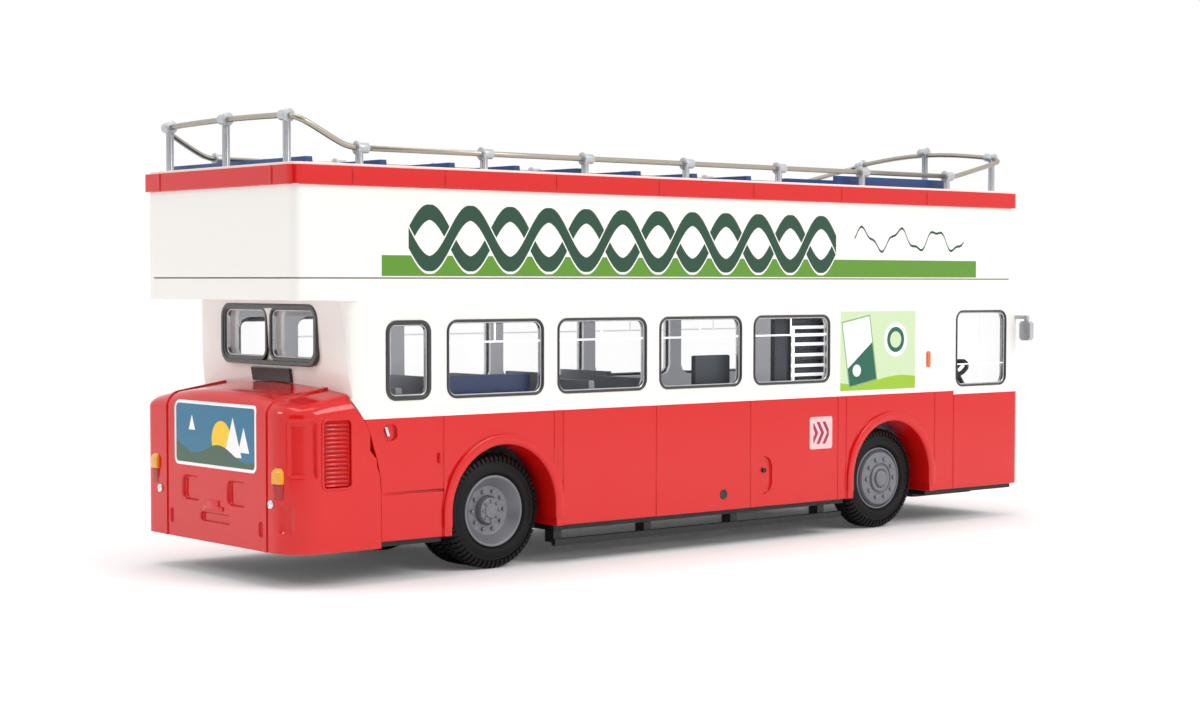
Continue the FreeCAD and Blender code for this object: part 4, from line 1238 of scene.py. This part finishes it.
# Handrail: the wires are smoothed copies of the CAD runs, the posts are new. A post of a hoop
# is given by its place across and the height of its head.
handrail = {
    "across": 15.1,
    "foot": 46.0,
    "side": 47.8,
    "places": (-18.0, -1.0, 14.0, 30.2, 46.3, 61.9, 79.0),
    "post": {"radius": 0.44, "flute": (0.02, -0.07), "spread": 1.35},
    "holders": ({"radius": 0.58, "start": -0.38, "length": 1.5},
                {"radius": 0.76, "start": -0.5, "length": 0.26}),
    "mouth": (0.16, -0.06),
    "fatten": 0.03,
    "hoops": {
        "rear": {"x": -25.7, "rise": 0.034, "posts": ((0.0, 51.37), (12.7, 51.11), (-12.7, 51.11))},
        "front": {"x": 91.7, "rise": 0.2, "posts": ((0.0, 52.19), (12.5, 50.83), (-12.5, 50.83))},
    },
}


def addWires():
    joins = [datumX / mm + handrail["places"][k] for k in (0, -1)]
    for name in ("rail_left", "rail_right", "rail_rear", "rail_front"):
        item = copyPiece(nodes[name], f"{name}_wire", nodes[name].matrix_world)
        startEdit(item)
        mergePoints(0.01)
        bpy.ops.mesh.tris_convert_to_quads(face_threshold=math.radians(25), shape_threshold=math.radians(60))
        bpy.ops.transform.shrink_fatten(value=handrail["fatten"] * mm)
        selectFaces(item, lambda middle, normal: abs(normal.x) > 0.99 and min(
            abs(middle.x - join) for join in joins) < 0.05)
        bpy.ops.mesh.region_to_loop()
        bpy.ops.transform.edge_crease(value=1.0)
        endEdit()
        applyModifier(item, "SUBSURF", levels=2, render_levels=2)
        dress(item, "wire", "root", [name], smooth=60)


# One post: a fluted upright with a spread foot, a sleeve along the wire and a collar behind it.
def modelPost(x, y, top, along):
    post, foot = handrail["post"], handrail["foot"]
    upright = addCylinder("post", at(x, y, (foot + top) / 2), post["radius"], top - foot, "z", 20)
    startEdit(upright)
    selectFaces(upright, lambda centre, normal: abs(normal.z) < 0.1 and round(
        math.degrees(math.atan2(normal.y, normal.x)) / 18 + 0.5) % 2 == 0)
    inset(*post["flute"], use_individual=True)
    selectFaces(upright, facing("-z"))
    extrude(0.0, 0.0, 0.0)
    bpy.ops.transform.resize(value=(post["spread"], post["spread"], 1.0), center_override=at(x, y, foot))
    endEdit()
    applyBevel(upright, 0.03, 2, 40)
    parts = [upright]
    along = Vector(along).normalized()
    turn = along.to_track_quat("Z", "Y").to_matrix().to_4x4()
    for spec in handrail["holders"]:
        item = addCylinder("holder", (0, 0, 0), spec["radius"], spec["length"], "z", 24)
        pressFaces(item, facing("+z"), [handrail["mouth"]], 0.08, 3, 30)
        middle = Vector((x, y, top)) + along * (spec["start"] + spec["length"] / 2)
        item.data.transform(Matrix.Translation(at(*middle)) @ turn)
        parts.append(item)
    return joinPieces("post", parts)


def addPosts():
    runs = {name: [modelPost(x, y, handrail["side"], (1.0, 0.0, 0.0)) for x in handrail["places"]]
            for name, y in (("posts_left", handrail["across"]), ("posts_right", -handrail["across"]))}
    for end, hoop in handrail["hoops"].items():
        runs[f"posts_{end}"] = []
        for y, top in hoop["posts"]:
            slope = math.copysign(hoop["rise"], y) if y else 0.0
            runs[f"posts_{end}"].append(modelPost(hoop["x"], y, top, (0.0, 1.0, -slope)))
    for name, posts in runs.items():
        dress(joinPieces(f"{name}_turned", posts), "silver", "root", [name])


addWires()
addPosts()
print("handrail modelled")


# Blank number plate on the leaning rear wall, under the window.
plate = {"low": (-19.98, -4.1, 21.85), "high": (-19.61, 4.1, 23.4), "lean": 0.19, "rim": (0.12, -0.03)}


def addPlate():
    low, high = plate["low"], plate["high"]
    item = addBox("number_plate_blank", low, high)
    startEdit(item)
    selectFaces(item, facing("+z"))
    slide((low[2] - high[2]) * plate["lean"], 0.0, 0.0)
    endEdit()
    pressFaces(item, facing("-x", 0.7), [plate["rim"]], 0.03, 2)
    dress(item, "plate")


# Chrome grab handle in its recess, and the small catch on the edge of the emergency door.
doorFittings = {
    "handle": ((-15.35, -16.0, 16.2), (-15.0, -15.75, 17.2)),
    "lean": 0.35,
    "catch": ((-8.25, -16.4, 12.9), (-7.75, -16.0, 14.1)),
}


def addDoorFittings():
    handle = addBox("door_handle", *doorFittings["handle"])
    startEdit(handle)
    selectFaces(handle, facing("-z"))
    slide(doorFittings["lean"], 0.0, 0.0)
    endEdit()
    pressFaces(handle, facing("+z"), [(0.05, 0.05)], 0.07, 3)
    dress(handle, "chrome")
    catch = pressFaces(addBox("door_catch", *doorFittings["catch"]), facing("-y"), [(0.1, 0.05)], 0.12, 3)
    dress(catch, "lower")


# A dark plug with a shallow dish in the skirt's filler recess, and beside it a tiny dark disc put where the
# drain hole is: painted shade in place of the hole. The rings are shares of the radius, and heights.
skirtPlugAndDrainShade = {
    "places": ((35.9, 6.55, 0.62), (43.1, 9.2, 0.3)),
    "across": -15.88,
    "depth": 0.5,
    "rings": ((1.0, 0.0), (0.8, -0.02), (0.7, -0.12)),
}


def addSkirtPlugs():
    parts = []
    for x, z, radius in skirtPlugAndDrainShade["places"]:
        plug = addCylinder("plug", at(x, skirtPlugAndDrainShade["across"], z), radius, skirtPlugAndDrainShade["depth"], "y", 28)
        rings = [(radius * share, height) for share, height in skirtPlugAndDrainShade["rings"]]
        parts.append(pressFaces(plug, facing("-y"), ringInsets(rings), 0.03, 2))
    dress(joinPieces("skirt_plugs", parts), "plate")


# Slim side repeaters, rounded like a leaf.
sideLamp = {"low": (73.92, 15.9, 21.6), "high": (74.62, 16.3, 23.8), "corner": 0.33, "dome": (0.1, 0.08)}


def addSideLamps():
    (x0, y0, z0), (x1, y1, z1) = sideLamp["low"], sideLamp["high"]
    lamps = []
    for low, high in ((y0, y1), (-y1, -y0)):
        lamp = addBox("side_lamp", (x0, low, z0), (x1, high, z1))
        startEdit(lamp)
        selectAlong(lamp, "y")
        roundEdges(sideLamp["corner"], 6)
        selectFaces(lamp, facing("y"))
        inset(*sideLamp["dome"])
        endEdit()
        lamps.append(lamp)
    dress(joinPieces("side_repeaters", lamps), "orange", "root", ["side_lamps"], smooth=50)


addPlate()
addDoorFittings()
addSkirtPlugs()
addSideLamps()
print("fittings added")


# The camera stands behind the offside corner, a little above the waist.
viewpoint = {
    "place": (-149.56, -211.15, 33.41),
    "yaw": 40.243,
    "pitch": -2.542,
    "roll": 0.068,
    "lens": 64.43,
    "shiftY": 0.01514,
    "clip": (0.005, 10.0),
}


def addCamera():
    data = bpy.data.cameras.new("camera")
    data.lens = viewpoint["lens"]
    data.sensor_width = 36.0
    data.shift_y = viewpoint["shiftY"]
    data.clip_start, data.clip_end = viewpoint["clip"]
    camera = addObject("camera", data)
    camera.matrix_world = (Matrix.Translation(at(*viewpoint["place"]))
                           @ Matrix.Rotation(-math.radians(viewpoint["yaw"]), 4, "Z")
                           @ Matrix.Rotation(math.radians(90 + viewpoint["pitch"]), 4, "X")
                           @ Matrix.Rotation(math.radians(viewpoint["roll"]), 4, "Z"))
    bpy.context.scene.camera = camera


studio = {
    "worldLevel": 0.84,
    "lights": {
        "key": {"place": (0.15, -0.5, 0.42), "target": (0.0, 0.0, 0.02), "size": 0.3, "power": 1.45},
        "top": {"place": (-0.05, 0.02, 0.7), "target": (0.0, 0.0, 0.0), "size": 0.4, "power": 1.3},
        "rim": {"place": (-0.5, 0.25, 0.4), "target": (-0.03, 0.0, 0.02), "size": 0.16, "power": 0.5},
    },
    "floor": {"size": 3.0, "grey": 0.93, "roughness": 0.9, "glow": 0.05, "fade": (0.16, 0.34)},
    "card": {"size": 0.5, "place": (-0.52, -0.36, 0.1), "grey": 0.12, "roughness": 1.0},
}


def addLight(name, place, target, size, power):
    data = bpy.data.lights.new(name, "AREA")
    data.shape = "SQUARE"
    data.size = size
    data.energy = power
    way = Vector(target) - Vector(place)
    turn = way.to_track_quat("-Z", "Y").to_matrix().to_4x4()
    addObject(name, data).matrix_world = Matrix.Translation(place) @ turn


# Lamps, and a world whose background is plain white to the camera and in reflections.
def addLights():
    for name, light in studio["lights"].items():
        addLight(name, **light)
    world = bpy.data.worlds.new("studio")
    bpy.context.scene.world = world
    world.use_nodes = True
    tree = world.node_tree
    camera, glossy, transmitted = (Wire(tree, None).node("ShaderNodeLightPath", output=k) for k in (0, 3, 6))
    seen = (camera + glossy + transmitted) > 0.5
    background = tree.nodes["Background"]
    background.inputs["Color"].default_value = white
    plug(background, "Strength", seen * (1.0 - studio["worldLevel"]) + studio["worldLevel"])


def paperFinish(name, spec):
    material, shader, place = newMaterial(name)
    shader.inputs["Base Color"].default_value = (spec["grey"],) * 3 + (1.0,)
    shader.inputs["Roughness"].default_value = spec["roughness"]
    return material, shader, place


# White paper that fades out into the background some way from the bus.
def addFloor():
    spec = studio["floor"]
    start, stop = spec["fade"]
    floor = addPlane("studio_floor", spec["size"])
    material, shader, place = paperFinish("paper", spec)
    shader.inputs["Emission Strength"].default_value = 1.0
    plug(shader, "Emission Color", place.node("ShaderNodeLightPath") * spec["glow"])
    reach = place.node("ShaderNodeVectorMath", {"operation": "LENGTH"}, {0: place}, output=1)
    fade = (reach - start) / (stop - start)
    plug(shader, "Alpha", 1.0 - fade.atLeast(0.0).atMost(1.0))
    floor.data.materials.append(material)


# Grey card behind the camera, which the rounded corners reflect.
def addCard():
    spec = studio["card"]
    card = addPlane("studio_card", spec["size"], spec["place"])
    card.rotation_euler = (-Vector(spec["place"])).to_track_quat("Z", "Y").to_euler()
    card.data.materials.append(paperFinish("grey_card", spec)[0])


addCamera()
addLights()
addFloor()
addCard()
bpy.context.scene.view_settings.view_transform = "Standard"
